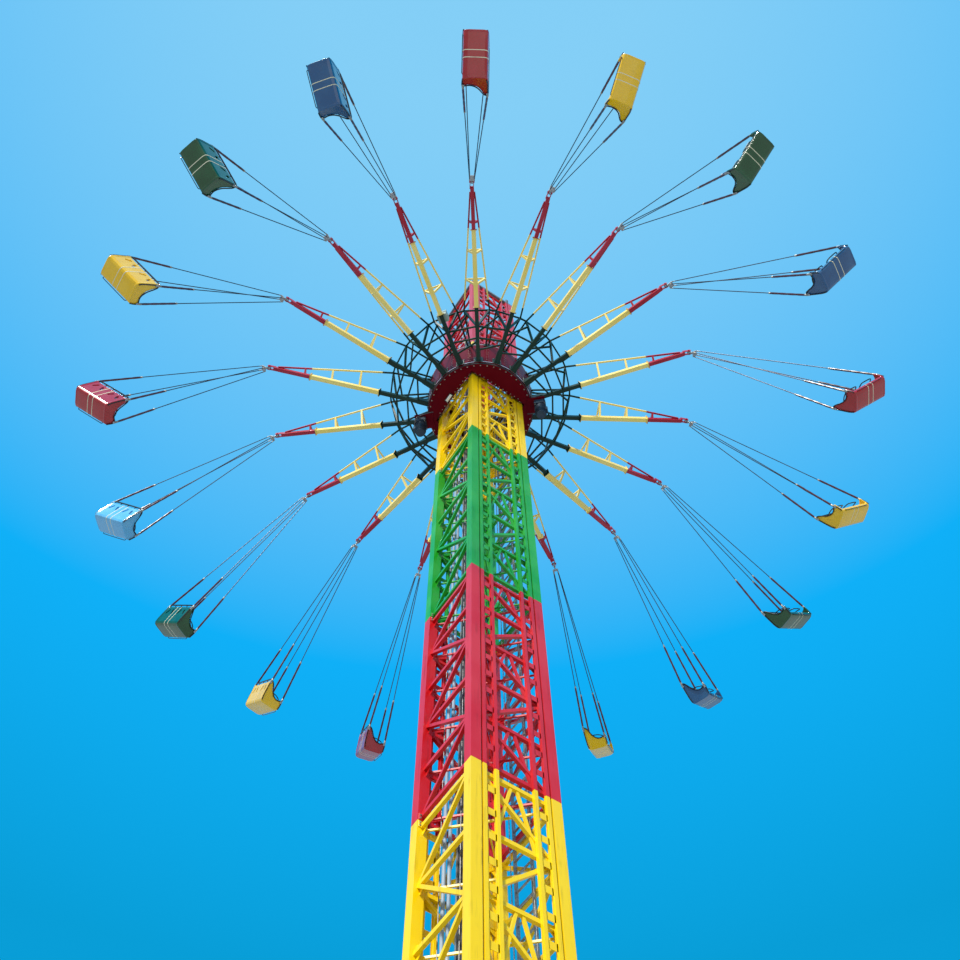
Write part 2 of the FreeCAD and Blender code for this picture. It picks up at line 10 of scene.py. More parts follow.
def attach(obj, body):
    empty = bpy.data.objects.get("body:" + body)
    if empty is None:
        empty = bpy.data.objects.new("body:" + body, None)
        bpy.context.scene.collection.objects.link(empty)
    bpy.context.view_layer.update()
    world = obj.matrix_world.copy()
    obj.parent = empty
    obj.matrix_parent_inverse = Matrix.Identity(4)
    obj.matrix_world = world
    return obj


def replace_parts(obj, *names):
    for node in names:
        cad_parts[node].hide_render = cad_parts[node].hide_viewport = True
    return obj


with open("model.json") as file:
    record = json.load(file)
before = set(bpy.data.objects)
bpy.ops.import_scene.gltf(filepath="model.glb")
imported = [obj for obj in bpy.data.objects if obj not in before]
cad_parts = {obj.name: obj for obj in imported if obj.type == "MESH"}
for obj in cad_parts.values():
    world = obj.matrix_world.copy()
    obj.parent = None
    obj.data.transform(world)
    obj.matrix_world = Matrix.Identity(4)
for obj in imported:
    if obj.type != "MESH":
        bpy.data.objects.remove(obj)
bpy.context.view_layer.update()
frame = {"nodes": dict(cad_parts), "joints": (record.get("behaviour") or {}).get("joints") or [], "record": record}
nodes = frame["nodes"]
X, Y, Z = (Vector(row) for row in Matrix.Identity(3))
SIDES = (-1, 1)
CORNERS = [(sx, sy) for sx in SIDES for sy in SIDES]

# ---- sizes shared with the frame, in metres
half = 0.786  # tower's face from its axis
chord = 0.175  # corner tube
chord_inner = half - chord
chord_centre = half - chord / 2
section_tops = (3.0, 9.0, 15.0, 20.5, 27.0, 33.0, 39.0)
section_nodes = ["tower_base_section"] + ["tower_section_%d" % i for i in range(1, 7)]
bays = 5
base_bays = 2
base_bracing = 1.0  # where the base section's bracing starts
end_bar_inset = 0.110
cross_bar_inner = chord_centre - 0.030
rail_offset, rail_size = 0.335, 0.058
strip_offset, strip_size = 0.5485, 0.065
base_top = 0.250
anchor_plate_top = 0.036
anchor_offset = 0.24

soffit_under, soffit_top = 30.37, 30.41
carriage_top = 31.94
drum_outer = 1.383
drum_bottom, drum_top = 30.47, 31.84
arm_root_height = drum_bottom + 0.090
tip_radius, tip_height = 5.74, 31.69
arm_slope = (tip_height - arm_root_height) / (tip_radius - drum_outer)
arm_count = 18
first_arm = -126.02
root_chord = 0.100
colour_change = (2.70, 4.59)  # radii where an arm's sections meet
motor_angles = (137.0, -43.0)
motor_centre = drum_outer + 0.340 - 0.145
gearbox_bottom = soffit_under - 0.040 - 0.220
motor_r, motor_length = 0.130, 0.430

gondola_drop = 5.680  # swing pin to the shell's foot
neck_length = 0.190
rod_length = 1.200
lug_rear = (0.605, 0.265, 0.610)
lug_front = (0.605, -0.250, 0.310)

# ---- viewpoint and light
eye = Vector((-6.69, -9.67, 1.70))  # standing height, a short walk from the foot of the tower
heading = -34.53  # degrees from +Y, towards +X is negative
look_up = 64.43
head_roll = -0.66
focal_length = 44.13
sensor_width = 36.0
far_clip = 400.0
horizon_below = (0.60, 0.62, 0.63, 1.0)
sky_bands = (  # how high each tone starts and is full, as the sine of its height
    (-0.10, 0.10, (0.62, 0.68, 0.72, 1.0)), (0.25, 0.58, (0.003, 0.40, 0.80, 1.0)),
    (0.66, 0.82, (0.006, 0.51, 1.10, 1.0)), (0.82, 0.99, (0.27, 0.73, 1.09, 1.0)))
sky_strength = 0.85
lamps = (  # name, energy, softness in degrees, colour, direction towards it
    ("key", 4.8, 6.0, (1.0, 0.96, 0.88), (-0.66, -0.42, 0.62)),
    ("low fill", 0.22, 40.0, (1.0, 0.92, 0.80), (-0.30, -0.85, -0.25)))
floor_radius, floor_drop = 60.0, 0.002
floor_colour, floor_roughness = (0.46, 0.45, 0.43, 1.0), 0.85


def linked(name, data):
    made = bpy.data.objects.new(name, data)
    bpy.context.scene.collection.objects.link(made)
    return made


def make_camera():
    turn, pitch, roll = (math.radians(angle) for angle in (heading, look_up, head_roll))
    forward = Vector((-math.sin(turn) * math.cos(pitch), math.cos(turn) * math.cos(pitch), math.sin(pitch)))
    right = Vector((math.cos(turn), math.sin(turn), 0.0))
    up = right.cross(forward)
    side = math.cos(roll) * right + math.sin(roll) * up
    top = -math.sin(roll) * right + math.cos(roll) * up
    data = bpy.data.cameras.new("eye")
    data.lens = focal_length
    data.sensor_width = sensor_width
    data.clip_end = far_clip
    camera = linked("eye", data)
    camera.matrix_world = Matrix((side, top, -forward)).transposed().to_4x4()
    camera.location = eye
    bpy.context.scene.camera = camera


def make_light():
    world = bpy.data.worlds.new("soft sky")
    world.use_nodes = True
    graph = Graph(world.node_tree)
    direction = graph.node("ShaderNodeTexCoord").outputs["Generated"]
    rise = graph.node("ShaderNodeSeparateXYZ", {"Vector": direction}).outputs["Z"]
    bands = [(graph.remap(rise, low, high), colour) for low, high, colour in sky_bands]
    background = world.node_tree.nodes["Background"]
    graph.feed(background.inputs["Color"], graph.coats(horizon_below, *bands))
    background.inputs["Strength"].default_value = sky_strength
    bpy.context.scene.world = world
    bpy.context.scene.view_settings.view_transform = "Standard"
    for name, energy, softness, colour, towards in lamps:
        data = bpy.data.lights.new(name, "SUN")
        data.energy = energy
        data.angle = math.radians(softness)
        data.color = colour
        linked(name, data).rotation_euler = Vector(towards).to_track_quat("Z", "Y").to_euler()


def make_floor():
    bpy.ops.mesh.primitive_circle_add(vertices=96, radius=floor_radius, fill_type="NGON",
                                      location=(0.0, 0.0, -floor_drop))
    floor = bpy.context.object
    floor.name = "floor"
    material = bpy.data.materials.new("pale floor")
    material.use_nodes = True
    shader = material.node_tree.nodes["Principled BSDF"]
    shader.inputs["Base Color"].default_value = floor_colour
    shader.inputs["Roughness"].default_value = floor_roughness
    floor.data.materials.append(material)


# ---- shader groups
class Graph:
    """Short hand for adding and wiring nodes of one tree."""

    def __init__(self, tree):
        self.tree = tree
        self.place = None

    def node(self, kind, inputs=None, **settings):
        made = self.tree.nodes.new(kind)
        for key, value in settings.items():
            setattr(made, key, value)
        for key, value in (inputs or {}).items():
            self.feed(made.inputs[key], value)
        return made

    def feed(self, socket, value):
        if isinstance(value, bpy.types.NodeSocket):
            self.tree.links.new(value, socket)
        else:
            socket.default_value = value

    def maths(self, operation, a, b):
        return self.node("ShaderNodeMath", {0: a, 1: b}, operation=operation).outputs[0]

    def times(self, a, b):
        return self.maths("MULTIPLY", a, b)

    def build_up(self, base, *layers):
        """A value plus shares of others."""
        for value, share in layers:
            base = self.maths("ADD", base, self.times(value, share))
        return base

    def stretched(self, scale):
        return self.node("ShaderNodeMapping", {"Vector": self.place, "Scale": scale}).outputs["Vector"]

    def noise(self, scale, detail, roughness=0.5, stretch=None):
        place = self.stretched(stretch) if stretch else self.place
        return self.node("ShaderNodeTexNoise", {"Vector": place, "Scale": scale, "Detail": detail,
                                                "Roughness": roughness}).outputs["Fac"]

    def cloud(self, low, high, *texture, **more):
        return self.remap(self.noise(*texture, **more), low, high)

    def remap(self, value, low, high, to_low=0.0, to_high=1.0):
        made = self.node("ShaderNodeMapRange", {"Value": value, "From Min": low, "From Max": high,
                                                "To Min": to_low, "To Max": to_high})
        return made.outputs["Result"]

    def coats(self, base, *layers):
        """A colour with others laid over it, each by its mask."""
        for share, colour in layers:
            made = self.node("ShaderNodeMix", data_type="RGBA")
            for socket, value in ((0, share), (6, base), (7, colour)):
                self.feed(made.inputs[socket], value)
            base = made.outputs[2]
        return base

    def surface(self, colour, roughness, height):
        sink = self.node("NodeGroupOutput").inputs
        for label, value in (("Color", colour), ("Roughness", roughness), ("Height", height)):
            self.feed(sink[label], value)
        return self.tree


def add_socket(tree, label, side, kind):
    return tree.interface.new_socket(label, in_out=side, socket_type="NodeSocket" + kind)


def shader_group(name, colours, numbers):
    tree = bpy.data.node_groups.new(name, "ShaderNodeTree")
    for label in colours:
        add_socket(tree, label, "INPUT", "Color")
    for label, value in numbers.items():
        add_socket(tree, label, "INPUT", "Float").default_value = value
    for label, kind in (("Color", "Color"), ("Roughness", "Float"), ("Height", "Float")):
        add_socket(tree, label, "OUTPUT", kind)
    graph = Graph(tree)
    graph.place = graph.node("ShaderNodeTexCoord").outputs["Object"]
    return graph, graph.node("NodeGroupInput").outputs


def build_weathered_paint():
    """Sprayed enamel outdoors: sun fade in clouds, rain streaks, a few chips and orange peel."""
    graph, given = shader_group("weathered paint", ("Paint", "Faded", "Grime", "Primer"), {
        "Fade Amount": 0.4, "Streak Amount": 0.3, "Chip Amount": 0.5, "Gloss Roughness": 0.25})
    fade = graph.times(graph.cloud(0.42, 0.66, 0.9, 4.0), given["Fade Amount"])
    runs = graph.cloud(0.52, 0.70, 1.0, 3.0, 0.6, stretch=(14.0, 14.0, 0.7))
    patches = graph.cloud(0.46, 0.62, 2.3, 2.0)
    streak = graph.times(graph.times(runs, patches), given["Streak Amount"])
    bare = graph.times(graph.cloud(0.72, 0.735, 23.0, 5.0, 0.65), given["Chip Amount"])
    peel = graph.times(graph.noise(160.0, 2.0), 0.05)
    return graph.surface(
        graph.coats(given["Paint"], (fade, given["Faded"]), (streak, given["Grime"]), (bare, given["Primer"])),
        graph.build_up(given["Gloss Roughness"], (fade, 0.18), (streak, 0.5), (bare, 0.4)),
        graph.build_up(peel, (bare, -1.0)))


def build_moulded_colour():
    """Gelcoat: even colour with a chalky bloom, fine scratches and dust in soft patches."""
    graph, given = shader_group("moulded colour", ("Colour", "Bloom", "Dust"), {
        "Bloom Amount": 0.3, "Dust Amount": 0.25, "Gloss Roughness": 0.16})
    bloom = graph.times(graph.cloud(0.45, 0.70, 3.1, 3.0), given["Bloom Amount"])
    soil = graph.times(graph.cloud(0.56, 0.75, 7.0, 5.0, 0.7), given["Dust Amount"])
    scratch = graph.cloud(0.64, 0.68, 1.0, 4.0, 0.7, stretch=(90.0, 12.0, 55.0))
    waviness = graph.times(graph.noise(11.0, 1.0), 0.6)
    return graph.surface(
        graph.coats(given["Colour"], (bloom, given["Bloom"]), (soil, given["Dust"])),
        graph.build_up(given["Gloss Roughness"], (bloom, 0.20), (soil, 0.45), (scratch, 0.15)),
        graph.build_up(waviness, (scratch, -0.08)))


def build_bare_metal():
    """Bare or zinc-coated metal: cloudy tone, drawn lines along Z and stain."""
    graph, given = shader_group("bare metal", ("Metal", "Tarnish", "Stain"), {
        "Tarnish Amount": 0.6, "Stain Amount": 0.2, "Cloud Scale": 9.0, "Polish Roughness": 0.35})
    tarnish = graph.times(graph.cloud(0.40, 0.66, given["Cloud Scale"], 4.0, 0.6), given["Tarnish Amount"])
    rust = graph.times(graph.cloud(0.60, 0.72, 31.0, 5.0, 0.7), given["Stain Amount"])
    drawn = graph.noise(1.0, 2.0, stretch=(220.0, 220.0, 9.0))
    return graph.surface(
        graph.coats(given["Metal"], (tarnish, given["Tarnish"]), (rust, given["Stain"])),
        graph.build_up(given["Polish Roughness"], (tarnish, 0.25), (drawn, 0.12)),
        graph.build_up(rust, (drawn, 0.4)))


def build_rope_lay():
    """Strands laid round a rope as slanted ridges with grease between them."""
    graph, given = shader_group("rope lay", ("Wire", "Grease"), {"Strand Pitch": 0.02, "Wire Roughness": 0.4})
    ridges = graph.node("ShaderNodeTexWave", {
        "Vector": graph.stretched((1.0, 1.0, 0.45)), "Scale": graph.maths("DIVIDE", 0.31, given["Strand Pitch"]),
        "Distortion": 0.4, "Detail": 1.0}, wave_type="BANDS", bands_direction="DIAGONAL").outputs["Fac"]
    valley = graph.remap(ridges, 0.05, 0.40, 0.8, 0.0)
    smear = graph.remap(graph.noise(5.0, 4.0), 0.42, 0.62, 0.15, 0.8)
    share = graph.maths("MAXIMUM", valley, graph.times(smear, 0.6))
    dry = graph.maths("ADD", given["Wire Roughness"], 0.2)
    return graph.surface(graph.coats(given["Wire"], (share, given["Grease"])),
                         graph.build_up(dry, (share, -0.3)), ridges)


def build_worn_polymer():
    """Cast polymer or rubber: mottled tone, rolled-in dirt and a fine pebble."""
    graph, given = shader_group("worn polymer", ("Body Colour", "Dirt"), {
        "Dirt Amount": 0.4, "Matte Roughness": 0.6})
    dirt = graph.times(graph.cloud(0.48, 0.68, 12.0, 5.0, 0.65), given["Dirt Amount"])
    return graph.surface(graph.coats(given["Body Colour"], (dirt, given["Dirt"])),
                         graph.build_up(given["Matte Roughness"], (dirt, 0.2)), graph.noise(240.0, 3.0))


weathered_paint = build_weathered_paint()
moulded_colour = build_moulded_colour()
bare_metal = build_bare_metal()
rope_lay = build_rope_lay()
worn_polymer = build_worn_polymer()


# ---- finishes
def tone(red, green, blue):
    """A colour as the eye reads it on a chart, turned into light values."""
    def light(value):
        return value / 12.92 if value <= 0.04045 else ((value + 0.055) / 1.055) ** 2.4
    return (light(red), light(green), light(blue), 1.0)


def finish(name, group, values, metallic=0.0, coat=0.0, bump=0.15, depth=0.002, shine=0.5):
    """A material from a shader group: chart colours and numbers go to its inputs."""
    material = bpy.data.materials.new(name)
    material.use_nodes = True
    graph = Graph(material.node_tree)
    shader = material.node_tree.nodes["Principled BSDF"]
    skin = graph.node("ShaderNodeGroup", node_tree=group)
    for label, value in values.items():
        graph.feed(skin.inputs[label], tone(*value) if isinstance(value, tuple) else value)
    relief = graph.node("ShaderNodeBump", {"Height": skin.outputs["Height"], "Strength": bump, "Distance": depth})
    for label, value in (("Base Color", skin.outputs["Color"]), ("Roughness", skin.outputs["Roughness"]),
                         ("Normal", relief.outputs["Normal"]), ("Metallic", metallic), ("Coat Weight", coat),
                         ("Coat Roughness", 0.08), ("Specular IOR Level", shine)):
        graph.feed(shader.inputs[label], value)
    return material


def enamel(name, paint, faded, fade=0.45, streak=0.35, chips=0.6, gloss=0.30, grime=(0.10, 0.09, 0.07),
           coat=0.10, shine=0.3, bump=0.15):
    return finish(name + " enamel", weathered_paint, {
        "Paint": paint, "Faded": faded, "Grime": grime, "Primer": (0.22, 0.12, 0.08), "Fade Amount": fade,
        "Streak Amount": streak, "Chip Amount": chips, "Gloss Roughness": gloss}, coat=coat, bump=bump, shine=shine)


def gelcoat(name, colour, bloom):
    return finish("gelcoat " + name, moulded_colour, {
        "Colour": colour, "Bloom": bloom, "Dust": (0.34, 0.30, 0.25), "Bloom Amount": 0.22, "Dust Amount": 0.22,
        "Gloss Roughness": 0.20}, coat=0.4, bump=0.20, depth=0.004)


def steel(name, metal, tarnish, stain=0.2, clouds=9.0, polish=0.35):
    return finish(name, bare_metal, {
        "Metal": metal, "Tarnish": tarnish, "Stain": (0.36, 0.20, 0.12), "Stain Amount": stain,
        "Cloud Scale": clouds, "Polish Roughness": polish}, metallic=0.9, bump=0.12, depth=0.001)


def rope(name, wire, grease, pitch, metallic, bump):
    return finish(name, rope_lay, {"Wire": wire, "Grease": grease, "Strand Pitch": pitch},
                  metallic=metallic, bump=bump, depth=0.001)


def polymer(name, body, dirt, amount, roughness, bump, coat=0.0):
    return finish(name, worn_polymer, {"Body Colour": body, "Dirt": dirt, "Dirt Amount": amount,
                                       "Matte Roughness": roughness}, coat=coat, bump=bump, depth=0.001)


motor_paint = enamel("motor blue-grey", (0.14, 0.20, 0.27), (0.24, 0.31, 0.38), streak=0.5, gloss=0.35)
pipe_paint = enamel("conduit grey-blue", (0.56, 0.64, 0.72), (0.68, 0.74, 0.80), streak=0.6, gloss=0.5, coat=0.1)
bar_paint = enamel("seat bar black", (0.03, 0.03, 0.035), (0.10, 0.10, 0.11), fade=0.3, chips=0.8, gloss=0.25,
                   coat=0.5)
strip_paint = enamel("seam strip ivory", (0.86, 0.84, 0.72), (0.93, 0.92, 0.84), chips=0.3, gloss=0.4, coat=0.1)
zinc = steel("hot-dip zinc", (0.70, 0.72, 0.74), (0.50, 0.52, 0.55), stain=0.15, clouds=26.0, polish=0.50)
bolt_steel = steel("plated bolt steel", (0.72, 0.71, 0.68), (0.42, 0.40, 0.37), stain=0.35, clouds=40.0,
                   polish=0.46)
# Near-white steel for the drum's edge rings: trim, and on the lower ring also a painted highlight line above the soffit
# gap.
trim_and_highlight_steel = steel("bright edge trim", (0.90, 0.91, 0.93), (0.72, 0.73, 0.76), stain=0.0, polish=0.18)
# Near-black rubber for the ring that fills the gap between soffit and drum: a seal, and also painted shade standing in
# for the dark gap.
gap_shade_rubber = polymer("seal rubber", (0.05, 0.05, 0.05), (0.30, 0.28, 0.25), 0.35, 0.55, 0.2)
cable_jacket = polymer("cable jacket", (0.30, 0.31, 0.33), (0.42, 0.40, 0.38), 0.3, 0.45, 0.1)
rod_sheath = polymer("suspension sheath", (0.28, 0.05, 0.14), (0.14, 0.08, 0.12), 0.7, 0.28, 0.1, coat=0.4)
lamp_glass = finish("frosted lamp glass", moulded_colour, {
    "Colour": (0.96, 0.96, 0.94), "Bloom": (1.0, 1.0, 1.0), "Dust": (0.6, 0.58, 0.5), "Gloss Roughness": 0.3},
    coat=0.8, bump=0.1)

slot_finish = {
    "tower_red": enamel("tower red", (0.78, 0.06, 0.09), (0.84, 0.25, 0.28)),
    "tower_yellow": enamel("tower yellow", (0.96, 0.80, 0.0), (0.97, 0.84, 0.08), grime=(0.36, 0.26, 0.06)),
    "tower_green": enamel("tower green", (0.12, 0.60, 0.12), (0.32, 0.74, 0.36)),
    "arm_cream": enamel("arm cream", (0.95, 0.84, 0.44), (0.97, 0.90, 0.62), streak=0.15, chips=0.2,
                        grime=(0.48, 0.40, 0.24), bump=0.06),
    "arm_red": enamel("arm tip red", (0.64, 0.06, 0.16), (0.74, 0.26, 0.36)),
    "cabinet_grey": enamel("cabinet grey", (0.60, 0.66, 0.62), (0.72, 0.77, 0.73), gloss=0.35),
    "bearing_steel": steel("machined bearing steel", (0.62, 0.62, 0.62), (0.38, 0.38, 0.40), stain=0.1,
                           polish=0.22),
    "sheave_iron": steel("cast sheave iron", (0.34, 0.35, 0.37), (0.18, 0.18, 0.19), stain=0.5, clouds=14.0,
                         polish=0.5),
    "rope_steel": rope("greased hoist wire", (0.62, 0.62, 0.62), (0.30, 0.28, 0.26), 0.020, 0.8, 0.4),
    "wheel_polymer": polymer("wheel polymer", (0.86, 0.84, 0.78), (0.30, 0.27, 0.24), 0.6, 0.5, 0.15),
    "carriage_maroon": enamel("carriage maroon", (0.38, 0.02, 0.08), (0.44, 0.05, 0.11), fade=0.4, streak=0.2,
                              gloss=0.32, coat=0.0, shine=0.04),
    "arm_dark_green": enamel("arm dark green", (0.03, 0.15, 0.10), (0.10, 0.24, 0.17), coat=0.05, shine=0.25),
    "base_grey": enamel("base frame grey", (0.42, 0.44, 0.47), (0.56, 0.58, 0.60), streak=0.6),
    "bracket_grey": enamel("bracket charcoal", (0.20, 0.20, 0.22), (0.32, 0.32, 0.34), gloss=0.4, coat=0.1),
    "cable_steel": rope("seat suspension wire", (0.27, 0.28, 0.33), (0.18, 0.18, 0.22), 0.007, 0.7, 0.2),
    "galvanised": zinc, "motor_blue_grey": motor_paint,
    "gondola_red": gelcoat("red", (0.64, 0.03, 0.10), (0.74, 0.22, 0.28)),
    "gondola_yellow": gelcoat("yellow", (0.93, 0.74, 0.03), (0.96, 0.84, 0.34)),
    "gondola_green": gelcoat("green", (0.03, 0.28, 0.14), (0.18, 0.44, 0.28)),
    "gondola_blue": gelcoat("blue", (0.07, 0.31, 0.50), (0.24, 0.46, 0.62)),
    "gondola_light_blue": gelcoat("light blue", (0.34, 0.68, 0.88), (0.56, 0.80, 0.92)),
}
slot_of = {part["node"]: part["material_slot"] for part in frame["record"]["subparts"]}


def dress_frame():
    for name, piece in nodes.items():
        piece.data.materials.clear()
        piece.data.materials.append(slot_finish[slot_of[name]])


# ---- plain mesh helpers
def soften(data, crease=35.0):
    data.polygons.foreach_set("use_smooth", [True] * len(data.polygons))
    data.set_sharp_from_angle(angle=math.radians(crease))


def mesh_piece(name, stock, material):
    data = bpy.data.meshes.new(name)
    data.from_pydata(stock.verts, [], stock.faces)
    data.materials.append(material)
    work = bmesh.new()
    work.from_mesh(data)
    bmesh.ops.recalc_face_normals(work, faces=work.faces)
    work.to_mesh(data)
    work.free()
    soften(data)
    return linked(name, data)


def settle(piece, body):
    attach(piece, body)
    return piece


def fit(name, stock, body, slot, material=None):
    """A piece on its body, in its slot's finish unless another is given."""
    return settle(mesh_piece(name, stock, material or slot_finish[slot]), body)


def spun(count=4, first=0.0):
    """Turns about the tower's axis, evenly round: the four faces unless a count is given."""
    return [Matrix.Rotation(math.radians(first + 360.0 * i / count), 4, "Z") for i in range(count)]


def everywhere(points, turns):
    return [turn @ Vector(p) for turn in turns for p in points]


class Stock:
    """Vertices and faces of one finish, gathered before they become a mesh; turn places what is added."""

    def __init__(self, turn=Matrix()):
        self.verts, self.faces, self.turn = [], [], turn

    def add(self, verts, faces):
        start = len(self.verts)
        self.verts += [self.turn @ Vector(v) for v in verts]
        self.faces += [tuple(i + start for i in face) for face in faces]

    def moved(self, matrix):
        copy = Stock(matrix)
        copy.add(self.verts, self.faces)
        return copy

    def loft(self, loops):
        """Skin loops of as many points each, capped at both ends."""
        count, last = len(loops[0]), len(loops) - 1
        faces = [(i * count + k, i * count + (k + 1) % count, (i + 1) * count + (k + 1) % count, (i + 1) * count + k)
                 for i in range(last) for k in range(count)]
        faces += [tuple(range(count))[::-1], tuple(last * count + k for k in range(count))]
        self.add([v for loop in loops for v in loop], faces)

    def slab(self, outline, shift):
        """A flat outline, thickened by shift."""
        self.loft([outline, [Vector(p) + shift for p in outline]])

    def tube(self, path, radius, sides=10):
        """A round tube along a path, with its frame carried from point to point."""
        path = [Vector(p) for p in path]
        last = len(path) - 1
        radii = radius if isinstance(radius, (list, tuple)) else [radius] * len(path)
        tangents = [(path[min(i + 1, last)] - path[max(i - 1, 0)]).normalized() for i in range(last + 1)]
        normal = tangents[0].orthogonal().normalized()
        rings = []
        for point, tangent, size in zip(path, tangents, radii):
            normal = (normal - tangent * normal.dot(tangent)).normalized()
            across = tangent.cross(normal)
            turns = [2 * math.pi * k / sides for k in range(sides)]
            rings.append([point + (normal * math.cos(t) + across * math.sin(t)) * size for t in turns])
        self.loft(rings)

    def plate(self, centre, along, across, size, edge=0.003):
        """A plate with eased edges: size is (along, across, thick)."""
        along, across = along.normalized(), across.normalized()
        through = along.cross(across)
        a, b, c = (s / 2 for s in size)
        rings = [(a - edge, b - edge, -c), (a, b, -c + edge), (a, b, c - edge), (a - edge, b - edge, c)]
        if not edge:
            rings = [(a, b, -c), (a, b, c)]
        self.loft([[Vector(centre) + along * sa * ra + across * sb * rb + through * h
                    for sa, sb in ((-1, -1), (1, -1), (1, 1), (-1, 1))] for ra, rb, h in rings])

    def turning(self, profile, steps=96):
        """Turn a closed (r, z) outline round Z."""
        count = len(profile)
        verts = [(r * math.cos(turn), r * math.sin(turn), z) for turn in
                 (2 * math.pi * i / steps for i in range(steps)) for r, z in profile]
        faces = []
        for i in range(steps):
            here, there = i * count, ((i + 1) % steps) * count
            for k in range(count):
                n = (k + 1) % count
                faces.append((here + k, there + k, there + n, here + n))
        self.add(verts, faces)


def rounded(points, steps=6):
    """A smooth run through points, for bent bars."""
    points = [Vector(p) for p in points]
    last = len(points) - 1
    out = []
    for i in range(last):
        a, b, c, d = points[max(i - 1, 0)], points[i], points[i + 1], points[min(i + 2, last)]
        for s in range(steps):
            t = s / steps
            out.append(0.5 * ((2 * b) + (c - a) * t + (2 * a - 5 * b + 4 * c - d) * t * t
                              + (3 * b - a - 3 * c + d) * t ** 3))
    return out + [points[-1]]


# ---- geometry node trees
class Grower:
    """A geometry node tree with named inputs that grows repeated pieces."""

    def __init__(self, name, inputs):
        self.tree = bpy.data.node_groups.new(name, "GeometryNodeTree")
        for label, kind in (("Geometry", "Geometry"), *inputs, ("Finish", "Material")):
            add_socket(self.tree, label, "INPUT", kind)
        add_socket(self.tree, "Geometry", "OUTPUT", "Geometry")
        self.graph = Graph(self.tree)
        self.given = self.graph.node("NodeGroupInput").outputs
        self.keys = {item.name: item.identifier for item in self.tree.interface.items_tree
                     if item.item_type == "SOCKET" and item.in_out == "INPUT"}

    def made(self, kind, inputs, output=0, **settings):
        return self.graph.node("GeometryNode" + kind, inputs, **settings).outputs[output]

    def set_out(self, points, piece, turn=None, shift=None):
        """Close the tree with a piece on each point, turned and shifted if asked."""
        inputs = {"Points": points, "Instance": piece}
        if turn:
            inputs["Rotation"] = turn
        row = self.made("InstanceOnPoints", inputs)
        if shift:
            row = self.made("Transform", {"Geometry": row, "Translation": shift})
        solid = self.made("RealizeInstances", {"Geometry": row})
        dressed = self.made("SetMaterial", {"Geometry": solid, "Material": self.given["Finish"]})
        self.graph.feed(self.graph.node("NodeGroupOutput").inputs[0], dressed)

    def facing(self, direction, axis):
        return self.graph.node("FunctionNodeAlignRotationToVector", {"Vector": direction}, axis=axis).outputs[0]

    def grow(self, name, points, values, material):
        seed = bpy.data.meshes.new(name + "_seed")
        seed.from_pydata(points, [], [])
        carrier = linked(name + "_seed", seed)
        modifier = carrier.modifiers.new("grow", "NODES")
        modifier.node_group = self.tree
        for label, value in values.items():
            modifier[self.keys[label]] = value
        modifier[self.keys["Finish"]] = material
        bpy.context.view_layer.update()
        ready = carrier.evaluated_get(bpy.context.evaluated_depsgraph_get())
        data = bpy.data.meshes.new_from_object(ready)
        carrier.modifiers.remove(modifier)
        bpy.data.objects.remove(carrier)
        bpy.data.meshes.remove(seed)
        data.name = name
        data.materials.clear()
        data.materials.append(material)
        data.polygons.foreach_set("material_index", [0] * len(data.polygons))
        soften(data)
        return linked(name, data)


def build_bolts():
    """A washer, a hexagon head and a stub on each point, all facing one way or out from the axis."""
    tree = Grower("hexagon bolts on points", (
        ("Head Radius", "Float"), ("Head Height", "Float"), ("Facing", "Vector"), ("Outward", "Float")))
    graph, given = tree.graph, tree.given
    join = graph.node("GeometryNodeJoinGeometry")
    for sides, width, depth, lift in ((8, 0.5, 0.5, 1.5), (6, 1.0, 1.0, 0.8), (12, 1.35, 0.3, 0.15)):
        disc = tree.made("MeshCylinder", {"Vertices": sides, "Radius": graph.times(given["Head Radius"], width),
                                          "Depth": graph.times(given["Head Height"], depth)})
        rise = graph.node("ShaderNodeCombineXYZ", {"Z": graph.times(given["Head Height"], lift)}).outputs[0]
        graph.feed(join.inputs[0], tree.made("Transform", {"Geometry": disc, "Translation": rise}))

    def vector(operation, inputs):
        return graph.node("ShaderNodeVectorMath", inputs, operation=operation).outputs[0]
    flat = vector("MULTIPLY", {0: tree.made("InputPosition", {}), 1: (1.0, 1.0, 0.0)})
    outward = vector("SCALE", {0: flat, "Scale": given["Outward"]})
    facing = vector("ADD", {0: outward, 1: given["Facing"]})
    tree.set_out(given["Geometry"], join.outputs[0], tree.facing(facing, "Z"))
    return tree


def build_battens():
    """A row of flat battens: count, step between them, size of one and place of the first."""
    tree = Grower("row of battens", (("Count", "Int"), ("Step", "Vector"), ("Size", "Vector"), ("First", "Vector")))
    given = tree.given
    row = tree.made("MeshLine", {"Count": given["Count"], "Start Location": given["First"],
                                 "Offset": given["Step"]}, mode="OFFSET")
    tree.set_out(row, tree.made("MeshCube", {"Size": given["Size"]}))
    return tree


def build_fins():
    """Upright fins round a barrel."""
    tree = Grower("fins round a barrel", (
        ("Count", "Int"), ("Barrel Radius", "Float"), ("Fin Size", "Vector"), ("Centre", "Vector")))
    given = tree.given
    ring = tree.made("MeshCircle", {"Vertices": given["Count"], "Radius": given["Barrel Radius"]})
    tree.set_out(ring, tree.made("MeshCube", {"Size": given["Fin Size"]}),
                 tree.facing(tree.made("InputPosition", {}), "X"), given["Centre"])
    return tree


bolts = build_bolts()
battens = build_battens()
fins = build_fins()


def bolt_set(name, points, radius, height, facing=None):
    """Bolts on points that face one way, or out from the axis where no way is given."""
    return bolts.grow(name, points, {"Head Radius": radius, "Head Height": height,
                                     "Facing": tuple(facing or (0.0, 0.0, 0.0)),
                                     "Outward": 0.0 if facing else 1.0}, bolt_steel)


def batten_row(count, step, size, first, material):
    return battens.grow("row", [], {"Count": count, "Step": (0.0, 0.0, step), "Size": size, "First": first},
                        material)


